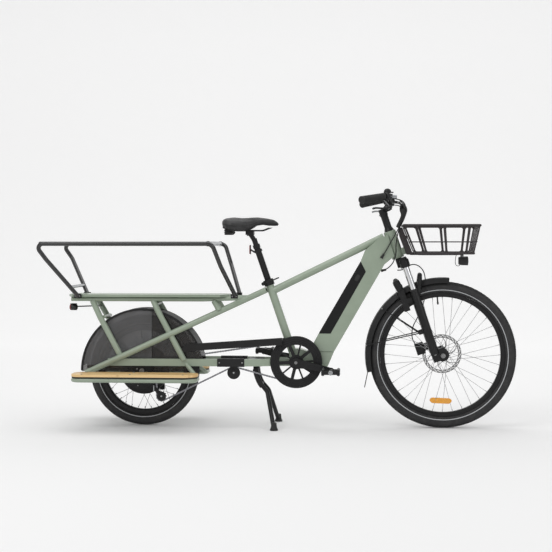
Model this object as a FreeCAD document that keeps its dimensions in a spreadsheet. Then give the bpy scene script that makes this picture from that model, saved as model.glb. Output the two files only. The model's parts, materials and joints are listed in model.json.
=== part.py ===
"""Long cargo bicycle with a hub motor, built as a parametric FreeCAD document.

Millimetres. +X is forward, +Y is the rider's left, +Z is up, and the ground is Z = 0.
Side-view places are measured from the drawing's datum and moved so that the whole is centred.
"""
import FreeCAD, Part
import Sketcher
import math
import os
from FreeCAD import Placement, Rotation, Vector

doc = FreeCAD.newDocument("cargo_bicycle")
dims = doc.addObject("Spreadsheet::Sheet", "dims")

DIMENSIONS = {
    "datum_x": 20.25,
    # wheels
    "front_axle_x": 768.5,
    "front_tyre_radius": 337,
    "front_tyre_section": 28.5,
    "front_rim_edge": 286,
    "front_rim_inner": 265,
    "rear_axle_x": -616,
    "rear_tyre_radius": 258,
    "rear_tyre_section": 26,
    "rear_rim_edge": 209,
    "rear_rim_inner": 184,
    "tyre_wall": 4,
    "rim_half_width": 15,
    "spoke_radius": 1,
    "spoke_count": 36,
    "front_axle_radius": 6,
    "rear_axle_radius": 7,
    "running_gap": 0.05,
    "front_disc_radius": 90,
    "rear_disc_radius": 80,
    "motor_radius": 108,
    "motor_half_width": 44,
    # drive
    "bracket_x": 98,
    "bracket_z": 303,
    "chain_pitch": 12.7,
    "chain_line": 56,
    "ring_teeth": 48,
    "freewheel_teeth": 18,
    "jockey_teeth": 11,
    "idler_teeth": 13,
    "crank_length": 165,
    "crank_drop": 12.6,
    "guard_radius": 120,
    "guard_inner_radius": 79,
    "crank_axle_radius": 10,
    "pedal_axle_radius": 5,
    # frame
    "head_radius": 28,
    "head_wall": 5,
    "head_lean": 18.5,
    "head_x": 567,
    "head_z": 781,
    "head_length": 130.8,
    "seat_lean": 18.9,
    "seat_tube_radius": 18.5,
    "seat_tube_length": 384,
    "top_tube_radius": 17,
    "down_tube_half_width": 38,
    "down_tube_wall": 3,
    "diagonal_radius": 14,
    "upright_radius": 13.5,
    "rail_radius": 10.5,
    "tube_wall": 2,
    "stay_height": 33,
    "stay_width": 20,
    "stay_low": 283,
    "rack_top": 613,
    "board_top": 259,
    "board_thickness": 12,
    "board_tube_radius": 9.5,
    "safety_rail_radius": 10,
    "skirt_radius": 288,
    "skirt_side": 61.7,
    "skirt_thickness": 1.5,
    # fork and cockpit
    "steerer_radius": 14.3,
    "stanchion_radius": 14.5,
    "lower_radius": 20,
    "leg_side": 65,
    "leg_forward": 18,
    "bar_radius": 11.1,
    "grip_radius": 17,
    "column_radius": 17,
    "mudguard_radius": 352,
    # seat and stand
    "seatpost_radius": 15,
    "stand_radius": 10,
}

for row, (alias, value) in enumerate(DIMENSIONS.items(), 1):
    dims.set(f"A{row}", alias)
    dims.set(f"B{row}", str(value))
    dims.setAlias(f"B{row}", alias)
doc.recompute()


class Sizes:
    """Reads a driving dimension from the sheet, as in size.head_radius."""

    def __getattr__(self, alias):
        return float(dims.get(alias))


size = Sizes()
nodes = {}


# ---------------------------------------------------------------- places


def at(x, y, z):
    """A place in side-view measures, moved into the part's own frame."""
    return Vector(x - size.datum_x, y, z)


def steer(forward, side, up):
    """A place given from the lower end of the head tube, along the steering axis."""
    lean = math.radians(size.head_lean)
    x = size.head_x + forward * math.cos(lean) - up * math.sin(lean)
    z = size.head_z + forward * math.sin(lean) + up * math.cos(lean)
    return at(x, side, z)


def seat_axis(distance, forward=0):
    """A place along the seat tube, measured up from the bottom bracket."""
    lean = math.radians(size.seat_lean)
    x = size.bracket_x - 6 - distance * math.sin(lean) + forward * math.cos(lean)
    return at(x, 0, size.bracket_z - 1 + distance * math.cos(lean) + forward * math.sin(lean))


def on_side(point, side):
    """The same place with its sideways distance on the chosen side."""
    return Vector(point.x, abs(point.y) * side, point.z)


def around(centre, radius, degrees, y=0):
    """A place on a circle in the side view, counted from +X towards +Z."""
    turn = math.radians(degrees)
    return Vector(centre.x + radius * math.cos(turn), y, centre.z + radius * math.sin(turn))


# ---------------------------------------------------------------- document objects


def bind(obj, prop, value):
    """Text binds the property to the sheet; a number is set as it is."""
    if isinstance(value, str):
        obj.setExpression(prop, value)
    else:
        setattr(obj, prop, value)


def node(name, obj):
    """Marks an object as one of the part's sub-parts."""
    obj.Label = name
    nodes[name] = obj
    return obj


def rod(start, end, radius):
    obj = doc.addObject("Part::Cylinder", "rod")
    bind(obj, "Radius", radius)
    obj.Height = (end - start).Length
    obj.Placement = Placement(start, Rotation(Vector(0, 0, 1), end - start))
    return obj


def cone(start, end, start_radius, end_radius):
    obj = doc.addObject("Part::Cone", "cone")
    bind(obj, "Radius1", start_radius)
    bind(obj, "Radius2", end_radius)
    obj.Height = (end - start).Length
    obj.Placement = Placement(start, Rotation(Vector(0, 0, 1), end - start))
    return obj


def ball(centre, radius):
    obj = doc.addObject("Part::Sphere", "ball")
    bind(obj, "Radius", radius)
    obj.Placement = Placement(centre, Rotation())
    return obj


def torus(centre, radius, section):
    """A ring about an axle that runs sideways."""
    obj = doc.addObject("Part::Torus", "torus")
    bind(obj, "Radius1", radius)
    bind(obj, "Radius2", section)
    obj.Placement = Placement(centre, Rotation(Vector(1, 0, 0), 90))
    return obj


def block(low, high):
    """A box with its edges along X, Y and Z."""
    obj = doc.addObject("Part::Box", "block")
    obj.Length = high.x - low.x
    obj.Width = high.y - low.y
    obj.Height = high.z - low.z
    obj.Placement = Placement(low, Rotation())
    return obj


def leaning_block(low, high):
    """A box whose edges follow the steering axis; the corners are (forward, side, up)."""
    obj = doc.addObject("Part::Box", "block")
    obj.Length = high[0] - low[0]
    obj.Width = high[1] - low[1]
    obj.Height = high[2] - low[2]
    obj.Placement = Placement(steer(*low), Rotation(Vector(0, 1, 0), -size.head_lean))
    return obj


def bar(start, end, width, height):
    """A rectangular bar between two places, width across and height upright."""
    obj = doc.addObject("Part::Box", "bar")
    along = end - start
    across = Vector(0, 0, 1).cross(along).normalize()
    upright = along.cross(across).normalize()
    bind(obj, "Length", along.Length)
    bind(obj, "Width", width)
    bind(obj, "Height", height)
    corner = start - across * (number(width) / 2) - upright * (number(height) / 2)
    obj.Placement = Placement(corner, Rotation(along, across, upright, "XYZ"))
    return obj


def number(value):
    """The number that a size gives now, whether it is plain or an expression of the sheet."""
    return float(dims.evalExpression(value)) if isinstance(value, str) else float(value)


def fuse(*parts):
    obj = doc.addObject("Part::MultiFuse", "fuse")
    obj.Shapes = list(parts)
    return obj


def group(*parts):
    """Separate solids that make one sub-part."""
    obj = doc.addObject("Part::Compound", "group")
    obj.Links = list(parts)
    return obj


def cut(base, *tools):
    obj = doc.addObject("Part::Cut", "cut")
    obj.Base = base
    obj.Tool = tools[0] if len(tools) == 1 else fuse(*tools)
    return obj


def rounded_path(points, bend):
    """Straight runs joined by tangent arcs of one radius, smaller where a run is short."""
    edges = []
    start = points[0]
    for before, corner, after in zip(points, points[1:], points[2:]):
        back = (before - corner).normalize()
        ahead = (after - corner).normalize()
        half_turn = (math.pi - back.getAngle(ahead)) / 2
        shorter = min((before - corner).Length, (after - corner).Length)
        reach = min(bend * math.tan(half_turn), 0.45 * shorter)
        radius = reach / math.tan(half_turn)
        middle_way = (back + ahead).normalize()
        centre = corner + middle_way * (radius / math.cos(half_turn))
        first = corner + back * reach
        last = corner + ahead * reach
        edges.append(Part.LineSegment(start, first).toShape())
        edges.append(Part.Arc(first, centre - middle_way * radius, last).toShape())
        start = last
    edges.append(Part.LineSegment(start, points[-1]).toShape())
    return Part.Wire(edges)


def pipe(points, radius, bend=40):
    """A round bar swept along straight runs and tangent arcs."""
    path = doc.addObject("Part::Feature", "path")
    path.Shape = rounded_path(points, bend)
    section = doc.addObject("Part::Circle", "section")
    bind(section, "Radius", radius)
    section.Placement = Placement(points[0], Rotation(Vector(0, 0, 1), points[1] - points[0]))
    obj = doc.addObject("Part::Sweep", "pipe")
    obj.Sections = [section]
    obj.Spine = (path, [f"Edge{i + 1}" for i in range(len(path.Shape.Edges))])
    obj.Solid = True
    return obj


def tube(points, radius, bend, *tools):
    """A bent tube, cut back where other pieces stand. The outer solid comes second."""
    outer = pipe(points, radius, bend)
    hollow = pipe(points, f"{radius} - dims.tube_wall", bend)
    return cut(outer, hollow, *tools), outer


def sketch_outline(body, plane, outline):
    """A closed outline of straight lines whose corners are tied to the sheet."""
    sketch = body.newObject("Sketcher::SketchObject", "outline")
    origin = {feature.Role: feature for feature in body.Origin.OriginFeatures}
    sketch.AttachmentSupport = [(origin[plane], "")]
    sketch.MapMode = "FlatFace"
    corners = [Vector(number(x), number(y), 0) for x, y in outline]
    for start, end in zip(corners, corners[1:] + corners[:1]):
        sketch.addGeometry(Part.LineSegment(start, end))
    for index in range(len(corners)):
        following = (index + 1) % len(corners)
        sketch.addConstraint(Sketcher.Constraint("Coincident", index, 2, following, 1))
    for index, pair in enumerate(outline):
        for kind, value in zip(("DistanceX", "DistanceY"), pair):
            made = sketch.addConstraint(Sketcher.Constraint(kind, index, 1, number(value)))
            if isinstance(value, str):
                sketch.setExpression(f"Constraints[{made}]", value)
    return sketch


def turned(centre, profile, angle=360, start_angle=0):
    """A PartDesign body turned about a sideways axle; the profile is (radius, side) pairs."""
    body = doc.addObject("PartDesign::Body", "turned")
    sketch = sketch_outline(body, "XY_Plane", profile)
    revolution = body.newObject("PartDesign::Revolution", "revolution")
    revolution.Profile = sketch
    revolution.ReferenceAxis = (sketch, ["V_Axis"])
    revolution.Angle = angle
    revolution.Reversed = angle < 360
    body.Placement = Placement(centre, Rotation(Vector(0, 1, 0), -start_angle))
    return body


def plate(outline, low_side, high_side):
    """A PartDesign body padded sideways from a side-view outline."""
    body = doc.addObject("PartDesign::Body", "plate")
    shifted = [(x - size.datum_x, z) for x, z in outline]
    sketch = sketch_outline(body, "XZ_Plane", shifted)
    pad = body.newObject("PartDesign::Pad", "pad")
    pad.Profile = sketch
    pad.Length = high_side - low_side
    body.Placement = Placement(Vector(0, high_side, 0), Rotation())
    return body


def slab(outline, low, high):
    """A PartDesign body padded upwards from a plan outline."""
    body = doc.addObject("PartDesign::Body", "slab")
    shifted = [(x - size.datum_x, y) for x, y in outline]
    sketch = sketch_outline(body, "XY_Plane", shifted)
    pad = body.newObject("PartDesign::Pad", "pad")
    pad.Profile = sketch
    pad.Length = high - low
    body.Placement = Placement(Vector(0, 0, low), Rotation())
    return body


def strap(first, second, radius, low_side, high_side):
    """A flat link with round ends between two places in the side view."""
    ends = [
        rod(Vector(p.x, low_side, p.z), Vector(p.x, high_side, p.z), radius) for p in (first, second)
    ]
    middle = bar(
        Vector(first.x, (low_side + high_side) / 2, first.z),
        Vector(second.x, (low_side + high_side) / 2, second.z),
        high_side - low_side,
        2 * radius,
    )
    return fuse(*ends, middle)


# ---------------------------------------------------------------- named places

FRONT_AXLE = at(size.front_axle_x, 0, size.front_tyre_radius)
REAR_AXLE = at(size.rear_axle_x, 0, size.rear_tyre_radius)
BRACKET = at(size.bracket_x, 0, size.bracket_z)
IDLER = at(-191, 0, 252)
GUIDE_JOCKEY = at(-573, 0, 193)
TENSION_JOCKEY = at(-527.5, 0, 141)
STAND_PIVOT = at(-91, 0, 262)
SEAT_TOP = seat_axis(size.seat_tube_length)


# ---------------------------------------------------------------- wheels


def wheel(name, axle, prefix):
    """Tyre and rim of one wheel."""
    radius = f"dims.{prefix}_tyre_radius - dims.{prefix}_tyre_section"
    section = f"dims.{prefix}_tyre_section"
    casing = torus(axle, radius, section)
    air = torus(axle, radius, f"{section} - dims.tyre_wall")
    edge = f"dims.{prefix}_rim_edge"
    well = rod(axle - Vector(0, 40, 0), axle + Vector(0, 40, 0), edge)
    node(f"{name}_tyre", cut(casing, air, well))
    inner = f"dims.{prefix}_rim_inner"
    half = "dims.rim_half_width"
    rim = [
        (inner, f"-({half} - 6)"),
        (inner, f"{half} - 6"),
        (f"{inner} + 5", f"{half} - 0.5"),
        (edge, half),
        (edge, f"{half} - 2.5"),
        (f"{inner} + 8", f"{half} - 3"),
        (f"{inner} + 5", f"{half} - 9"),
        (f"{inner} + 5", f"-({half} - 9)"),
        (f"{inner} + 8", f"-({half} - 3)"),
        (edge, f"-({half} - 2.5)"),
        (edge, f"-{half}"),
        (f"{inner} + 5", f"-({half} - 0.5)"),
    ]
    node(f"{name}_rim", turned(axle, rim))


def spokes(name, axle, flange_radius, flange_side, rim_radius, lead):
    """Laced spokes: every second one leans forward, on alternate flanges."""
    count = int(size.spoke_count)
    made = []
    for index in range(count):
        side = 1 if index % 2 else -1
        outer = (index // 2) % 2
        angle = index * 360 / count
        hub_side = side * (flange_side + (2.3 if outer else -2.3))
        rim_side = side * (3.6 if outer else 1.2)
        hub_angle = angle + (lead if outer else -lead)
        foot = around(axle, flange_radius, hub_angle, hub_side)
        tip = around(axle, rim_radius - 0.4, angle, rim_side)
        made.append(rod(foot, tip, "dims.spoke_radius"))
    node(f"{name}_spokes", group(*made))


def brake_disc(axle, radius, low_side, high_side, hole):
    """Brake disc: a ring, a hub boss and six arms."""
    half = (high_side - low_side) / 2
    centre = Vector(axle.x, low_side + half, axle.z)
    track = turned(centre, [(radius - 15, -half), (radius, -half), (radius, half), (radius - 15, half)])
    boss = turned(centre, [(hole, -half), (24, -half), (24, half), (hole, half)])
    arms = []
    for index in range(6):
        inner = around(centre, 21, index * 60, centre.y)
        outer = around(centre, radius - 12, index * 60 + 22, centre.y)
        arms.append(bar(inner, outer, 2 * half, 8))
    return fuse(track, boss, *arms)


wheel("front", FRONT_AXLE, "front")
wheel("rear", REAR_AXLE, "rear")
spokes("front", FRONT_AXLE, 26, 27, size.front_rim_inner, 70)
spokes("rear", REAR_AXLE, 103, 24, size.rear_rim_inner, 14)

front_bore = size.front_axle_radius + size.running_gap
hub_profile = [
    (front_bore, -48),
    (12, -48),
    (12, -32),
    (30, -30.5),
    (30, -23.5),
    (14, -20),
    (14, 20),
    (30, 23.5),
    (30, 30.5),
    (16, 34),
    (16, 40),
    (12, 44),
    (12, 48),
    (front_bore, 48),
]
front_shell = turned(FRONT_AXLE, hub_profile)
front_rotor = brake_disc(FRONT_AXLE, size.front_disc_radius, 40.5, 42.5, 12.5)
node("front_hub", group(cut(front_shell, nodes["front_spokes"]), front_rotor))

rear_bore = size.rear_axle_radius + size.running_gap
half_motor = size.motor_half_width
motor_profile = [
    (rear_bore, -half_motor),
    (60, -half_motor),
    (96, 8 - half_motor),
    ("dims.motor_radius - 4", 12 - half_motor),
    ("dims.motor_radius - 4", -29),
    ("dims.motor_radius + 3", -28.5),
    ("dims.motor_radius + 3", -20),
    ("dims.motor_radius - 4", -19),
    ("dims.motor_radius - 4", 19),
    ("dims.motor_radius + 3", 20),
    ("dims.motor_radius + 3", 28.5),
    ("dims.motor_radius - 4", 29),
    ("dims.motor_radius - 4", half_motor - 12),
    (96, half_motor - 8),
    (60, half_motor),
    (24, half_motor),
    (24, 55),
    (rear_bore, 55),
]
motor_shell = turned(REAR_AXLE, motor_profile)
core_profile = [(30, -34), (90, -34), (90, 34), (30, 34)]
motor_air = turned(REAR_AXLE, core_profile)
stator = turned(REAR_AXLE, [(45, -20), (88, -20), (88, 20), (45, 20)])
rear_rotor = brake_disc(REAR_AXLE, size.rear_disc_radius, 55.5, 57.5, 12.5)
rear_sleeve = turned(REAR_AXLE, [(rear_bore, 55), (12.5, 55), (12.5, 57.5), (rear_bore, 57.5)])
node(
    "hub_motor",
    group(cut(motor_shell, motor_air, nodes["rear_spokes"]), stator, fuse(rear_rotor, rear_sleeve)),
)


# ---------------------------------------------------------------- drive


def pitch_radius(teeth):
    return size.chain_pitch / 2 / math.sin(math.pi / teeth)


SPROCKET_THICKNESS = 2.4


def sprocket(centre, teeth, hole):
    """A toothed plate on the chain line."""
    teeth = int(teeth)
    low_side = -size.chain_line - SPROCKET_THICKNESS / 2
    root = pitch_radius(teeth) - 4.2
    tip = pitch_radius(teeth) + 2.2
    step = 360 / teeth
    corners = []
    for index in range(teeth):
        for radius, part in ((root, -0.26), (tip, -0.08), (tip, 0.08), (root, 0.26)):
            corners.append(around(centre, radius, (index + part) * step, low_side))
    outline = Part.Face(Part.makePolygon(corners + corners[:1]))
    toothed = doc.addObject("Part::Feature", "sprocket")
    toothed.Shape = outline.extrude(Vector(0, SPROCKET_THICKNESS, 0))
    hollow = rod(
        Vector(centre.x, -size.chain_line - 4, centre.z),
        Vector(centre.x, -size.chain_line + 4, centre.z),
        hole,
    )
    return cut(toothed, hollow)


def tangent_points(first, first_radius, first_turn, second, second_radius, second_turn):
    """Where the chain leaves one wheel and meets the next. A turn is 1 or -1, seen from +X to +Z."""
    between = math.atan2(second.z - first.z, second.x - first.x)
    distance = math.hypot(second.z - first.z, second.x - first.x)
    offset = (first_turn * first_radius - second_turn * second_radius) / distance
    heading = between + math.asin(offset)
    normal = Vector(math.sin(heading), 0, -math.cos(heading))
    return first + normal * (first_turn * first_radius), second + normal * (second_turn * second_radius)


def arc_middle(centre, start, end, turn):
    """The middle of the way round a wheel from start to end."""
    begin = math.atan2(start.z - centre.z, start.x - centre.x)
    finish = math.atan2(end.z - centre.z, end.x - centre.x)
    sweep = (finish - begin) * turn % (2 * math.pi)
    return around(centre, (start - centre).Length, math.degrees(begin + turn * sweep / 2))


def chain_loop(offset):
    """The closed line of the chain at a distance outside its pitch line."""
    wheels = [
        (BRACKET, size.ring_teeth, 1),
        (REAR_AXLE, size.freewheel_teeth, 1),
        (GUIDE_JOCKEY, size.jockey_teeth, -1),
        (TENSION_JOCKEY, size.jockey_teeth, 1),
        (IDLER, size.idler_teeth, -1),
    ]
    stations = [(centre, pitch_radius(teeth) + offset * turn, turn) for centre, teeth, turn in wheels]
    runs = [tangent_points(*stations[i], *stations[(i + 1) % 5]) for i in range(5)]
    edges = []
    for index, (centre, _, turn) in enumerate(stations):
        arrive = runs[index - 1][1]
        leave = runs[index][0]
        edges.append(Part.Arc(arrive, arc_middle(centre, arrive, leave, turn), leave).toShape())
        edges.append(Part.LineSegment(leave, runs[index][1]).toShape())
    return Part.Wire(edges)


def chain_side(low_side, high_side):
    """One row of link plates, as a closed band."""
    band = doc.addObject("Part::Feature", "links")
    outside = Part.Face(chain_loop(4)).extrude(Vector(0, high_side - low_side, 0))
    inside = Part.Face(chain_loop(-4)).extrude(Vector(0, high_side - low_side, 0))
    band.Shape = outside.cut(inside)
    band.Placement = Placement(Vector(0, low_side, 0), Rotation())
    return band


line = size.chain_line
node("chain", group(chain_side(-line - 4, -line - 1.8), chain_side(-line + 1.8, -line + 4)))

ring_plate = sprocket(BRACKET, size.ring_teeth, "dims.guard_inner_radius")
guard_profile = [
    ("dims.guard_inner_radius", -8),
    ("dims.guard_radius", -8),
    ("dims.guard_radius", -5.5),
    ("dims.guard_inner_radius + 8", -5.5),
    ("dims.guard_inner_radius + 8", 1.2),
    ("dims.guard_inner_radius", 1.2),
]
guard = turned(BRACKET - Vector(0, line, 0), guard_profile)
spider_boss = rod(BRACKET - Vector(0, line + 8, 0), BRACKET - Vector(0, line - 4, 0), 33)
spider_arms = []
for index in range(10):
    angle = 40 + index * 36
    inner = around(BRACKET, 18, angle, -line - 4)
    outer = around(BRACKET, size.guard_inner_radius + 3, angle, -line - 4)
    spider_arms.append(bar(inner, outer, 7, 7.5 if index % 2 else 15))
axle_hole = rod(BRACKET - Vector(0, 90, 0), BRACKET + Vector(0, 90, 0), "dims.crank_axle_radius")
node("chainring", cut(fuse(guard, ring_plate, spider_boss, *spider_arms), axle_hole))


def pedal_axle(side):
    turn = -size.crank_drop if side < 0 else 180 - size.crank_drop
    return around(BRACKET, size.crank_length, turn)


def crank_arm(side):
    """A tapering arm from the crank axle to the pedal's thread."""
    eye = pedal_axle(side)
    along = (eye - BRACKET).normalize()
    across = Vector(-along.z, 0, along.x)
    corners = [BRACKET + across * 19, eye + across * 13, eye - across * 13, BRACKET - across * 19]
    outline = [(corner.x + size.datum_x, corner.z) for corner in corners]
    arm = plate(outline, *sorted((side * 83, side * 95)))
    boss = rod(Vector(BRACKET.x, side * 68, BRACKET.z), Vector(BRACKET.x, side * 96, BRACKET.z), 19)
    pedal_boss = rod(Vector(eye.x, side * 82, eye.z), Vector(eye.x, side * 96, eye.z), 14)
    return fuse(boss, arm, pedal_boss)


crank_axle = rod(BRACKET - Vector(0, 92, 0), BRACKET + Vector(0, 92, 0), "dims.crank_axle_radius")
spindles = []
for side in (-1, 1):
    eye = pedal_axle(side)
    start = Vector(eye.x, side * 90, eye.z)
    spindles.append(rod(start, Vector(eye.x, side * 188, eye.z), "dims.pedal_axle_radius"))
node("crank_arms", fuse(crank_arm(-1), crank_arm(1), crank_axle, *spindles))


def pedal(side):
    """A platform pedal with a hollow centre that turns on its spindle."""
    eye = pedal_axle(side)
    hole = size.pedal_axle_radius + size.running_gap
    sides = sorted((side * 98, side * 192))
    barrel = rod(Vector(eye.x, sides[0], eye.z), Vector(eye.x, sides[1], eye.z), 11)
    bore = rod(Vector(eye.x, sides[0] - 5, eye.z), Vector(eye.x, sides[1] + 5, eye.z), hole)
    frames = []
    for end in (-1, 1):
        frames.append(
            block(
                Vector(eye.x + end * 35 - 6, sides[0] + 2, eye.z - 13),
                Vector(eye.x + end * 35 + 6, sides[1] - 2, eye.z + 13),
            )
        )
    for cross in (sides[0] + 8, sum(sides) / 2, sides[1] - 8):
        frames.append(
            block(Vector(eye.x - 40, cross - 5, eye.z - 9), Vector(eye.x + 40, cross + 5, eye.z + 9))
        )
    return cut(fuse(barrel, *frames), bore)


node("right_pedal", pedal(-1))
node("left_pedal", pedal(1))

cog = sprocket(REAR_AXLE, size.freewheel_teeth, 20)
ratchet = turned(
    REAR_AXLE - Vector(0, line, 0), [(rear_bore + 1, -4), (20, -4), (20, 11), (rear_bore + 1, 11)]
)
node("freewheel", fuse(cog, ratchet))


def jockey(centre, teeth, hole, outer_radius):
    """A small toothed pulley with a bush."""
    toothed = sprocket(centre, teeth, hole)
    bush = turned(
        centre - Vector(0, line, 0),
        [(hole, -3.6), (outer_radius, -3.6), (outer_radius, 3.6), (hole, 3.6)],
    )
    return fuse(toothed, bush)


pin_hole = 4 + size.running_gap
node("guide_jockey", jockey(GUIDE_JOCKEY, size.jockey_teeth, pin_hole, 12))
node("tension_jockey", jockey(TENSION_JOCKEY, size.jockey_teeth, pin_hole, 12))
idler_flange = turned(
    IDLER - Vector(0, line, 0),
    [(pin_hole, -6), (30, -6), (30, -4.5), (12, -4.5), (12, -3), (pin_hole, -3)],
)
node("idler_pulley", fuse(jockey(IDLER, size.idler_teeth, pin_hole, 16), idler_flange))


# ---------------------------------------------------------------- frame

HEAD_LOW = steer(0, 0, 0)
HEAD_TOP = steer(0, 0, size.head_length)
head_outer = rod(HEAD_LOW, HEAD_TOP, "dims.head_radius")
head_bore = rod(steer(0, 0, -5), steer(0, 0, size.head_length + 5), size.head_radius - size.head_wall)
lug = leaning_block((20, -14, 8), (44, 14, 40))
node("head_tube", cut(fuse(head_outer, lug), head_bore))

BATTERY_CORNERS = [(393, 766), (417, 718), (255, 433), (199.5, 433)]
half_width = size.down_tube_half_width
DOWN_OUTLINE = [
    (271, 350.5),
    (503, 753),
    (548, 790),
    (518, 888),
    (478, 872),
    (413, 816),
    (393, 766.5),
    (417.3, 718),
    (255.3, 432.7),
    (199.5, 432.7),
    (155, 350.5),
]
DOWN_HOLLOW = [
    (262, 353.5),
    (497, 756),
    (541, 792),
    (515, 880),
    (480, 866),
    (419, 813),
    (402, 768),
    (424, 718),
    (257, 429.7),
    (202, 429.7),
    (161, 353.5),
]
down_outer = plate(DOWN_OUTLINE, -half_width, half_width)
half_hollow = half_width - size.down_tube_wall
down_hollow = plate(DOWN_HOLLOW, -half_hollow, half_hollow)
node("down_tube", cut(down_outer, down_hollow, head_outer))
node("battery", plate(BATTERY_CORNERS, 2 - half_width, half_width - 2))

TOP_FRONT = at(500, 0, 880)
TOP_REAR = at(-10, 0, 630)
seat_outer = rod(seat_axis(30), SEAT_TOP, "dims.seat_tube_radius")
top_outer = rod(TOP_REAR, TOP_FRONT, "dims.top_tube_radius")
top_air = rod(TOP_REAR, TOP_FRONT, "dims.top_tube_radius - dims.tube_wall")
node("top_tube", cut(top_outer, top_air, head_outer, down_outer, seat_outer))

shell_outer = rod(BRACKET - Vector(0, 36.5, 0), BRACKET + Vector(0, 36.5, 0), 27)
housing = plate(
    [
        (271, 350.4),
        (243, 284),
        (228, 266),
        (110, 270),
        (82, 276),
        (64, 300),
        (64, 345),
        (86, 362),
        (112, 362),
        (150, 350.4),
    ],
    4 - half_width,
    half_width - 4,
)
housing_air = plate(
    [(264, 347), (240, 287), (226, 270), (150, 272), (150, 347)], 7 - half_width, half_width - 7
)
shell_bore = rod(BRACKET - Vector(0, 40, 0), BRACKET + Vector(0, 40, 0), 17.5)
bottom_bracket = cut(fuse(shell_outer, housing), shell_bore, housing_air)
node("bottom_bracket_shell", bottom_bracket)
seat_hollow = rod(seat_axis(20), seat_axis(400), size.seatpost_radius + size.running_gap)
node("seat_tube", cut(seat_outer, seat_hollow, shell_outer, housing))

RAIL_SIDE = 62
STAY_SIDE = 75
STAY_MIDDLE = size.stay_low + size.stay_height / 2
dropouts = []
stay_outers = []
lower_stays = []
diagonals = []
diagonal_outers = []
uprights = []
upright_outers = []
for side in (-1, 1):
    tail = at(-775, side * STAY_SIDE, STAY_MIDDLE)
    knee = at(-140, side * STAY_SIDE, STAY_MIDDLE)
    nose = at(66, side * 26, STAY_MIDDLE)
    straight = bar(tail, knee, "dims.stay_width", "dims.stay_height")
    slanted = bar(knee - Vector(4, 0, 0), nose, "dims.stay_width", "dims.stay_height")
    straight_air = bar(tail - Vector(5, 0, 0), knee - Vector(8, 0, 0), 16, 29)
    stay_outer = fuse(straight, slanted)
    stay_outers.append(stay_outer)
    lower_stays.append(cut(stay_outer, straight_air, shell_outer, housing))
    dropout = plate(
        [(-664, 282.8), (-646, 236), (-586, 236), (-560, 282.8)], *sorted((side * 66, side * 73))
    )
    axle_slot = rod(REAR_AXLE + Vector(0, side * 60, 0), REAR_AXLE + Vector(0, side * 80, 0), 7)
    dropouts.append(cut(dropout, axle_slot))
    stay_path = [at(-46, side * 24, 632), at(-320, side * 80, 505.6), at(-874, side * 98, 250)]
    diagonal, diagonal_outer = tube(
        stay_path, "dims.diagonal_radius", 160, seat_outer, top_outer, stay_outer
    )
    diagonal_outers.append(diagonal_outer)
    diagonals.append(diagonal)
    for path in (
        [at(-851, side * 60, 582), at(-812, side * 79, 508), at(-714, side * 77, 324)],
        [at(-565, side * 60, 582), at(-546, side * 79, 546), at(-420, side * 80, 310)],
        [at(-282, side * 60, 582), at(-268, side * 67, 560), at(-256, side * 75, 538)],
    ):
        upright, upright_outer = tube(path, "dims.upright_radius", 60, diagonal_outer, stay_outer)
        uprights.append(upright)
        upright_outers.append(upright_outer)
node("lower_stays", group(*lower_stays))
node("diagonal_stays", group(*diagonals))
mudguard_bridges = [
    rod(at(-795, -74, 508), at(-795, 74, 508), 8),
    rod(at(-553, -66, 567), at(-553, 66, 567), 8),
]

rails = []
rail_outers = []
for side in (-1, 1):
    path = [
        at(-950, side * RAIL_SIDE, 590.5),
        at(-330, side * RAIL_SIDE, 590.5),
        at(-112, side * 38, 597),
    ]
    rail, rail_outer = tube(path, "dims.rail_radius", 200, *diagonal_outers)
    rail_outers.append(rail_outer)
    rails.append(rail)
for x in (-940, -700, -460, -240):
    cross_bar = rod(at(x, -RAIL_SIDE, 590.5), at(x, RAIL_SIDE, 590.5), 8)
    rails.append(cut(cross_bar, *rail_outers, *diagonal_outers))
node("rack_rails", group(*rails))
upright_set = [cut(piece, *rail_outers) for piece in uprights]
bridges = [cut(piece, *upright_outers) for piece in mudguard_bridges]
node("upright_stays", group(*upright_set, *bridges))

deck = slab(
    [
        (-964.5, -45),
        (-940, -92),
        (-250, -92),
        (-214.6, -45),
        (-214.6, 45),
        (-250, 92),
        (-940, 92),
        (-964.5, 45),
    ],
    601.2,
    size.rack_top,
)
deck_air = slab(
    [
        (-960, -43),
        (-938, -88),
        (-252, -88),
        (-219, -43),
        (-219, 43),
        (-252, 88),
        (-938, 88),
        (-960, 43),
    ],
    600,
    size.rack_top - 3.5,
)
DECK_HOLES = [(-800, -60), (-800, 60), (-400, -60), (-400, 60)]
holes = [rod(at(x, y, 590), at(x, y, 620), 4.25) for x, y in DECK_HOLES]
node("rack_platform", cut(deck, deck_air, *holes, *diagonal_outers, *rail_outers))


# ---------------------------------------------------------------- footboards and rails

board_tubes = []
boards = []
for side in (-1, 1):
    loop = [
        at(-868, side * 106, 246),
        at(-905, side * 150, 232),
        at(-905, side * 254, 232),
        at(-346, side * 254, 232),
        at(-346, side * 150, 232),
        at(-406, side * 94, 292),
    ]
    outer_loop = pipe(loop, "dims.board_tube_radius", 36)
    inner_rail = rod(at(-903, side * 152, 232), at(-350, side * 152, 232), "dims.board_tube_radius")
    board_tubes.append(
        cut(fuse(outer_loop, inner_rail), *diagonal_outers, *upright_outers, *stay_outers)
    )
    board = slab(
        [
            (-913, side * 165),
            (-890, side * 137),
            (-380, side * 137),
            (-338, side * 165),
            (-338, side * 235),
            (-375, side * 265),
            (-890, side * 265),
            (-913, side * 235),
        ],
        size.board_top - size.board_thickness,
        size.board_top,
    )
    boards.append(board)
node("footboard_tubes", group(*board_tubes))
node("footboards", group(*boards))

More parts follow.
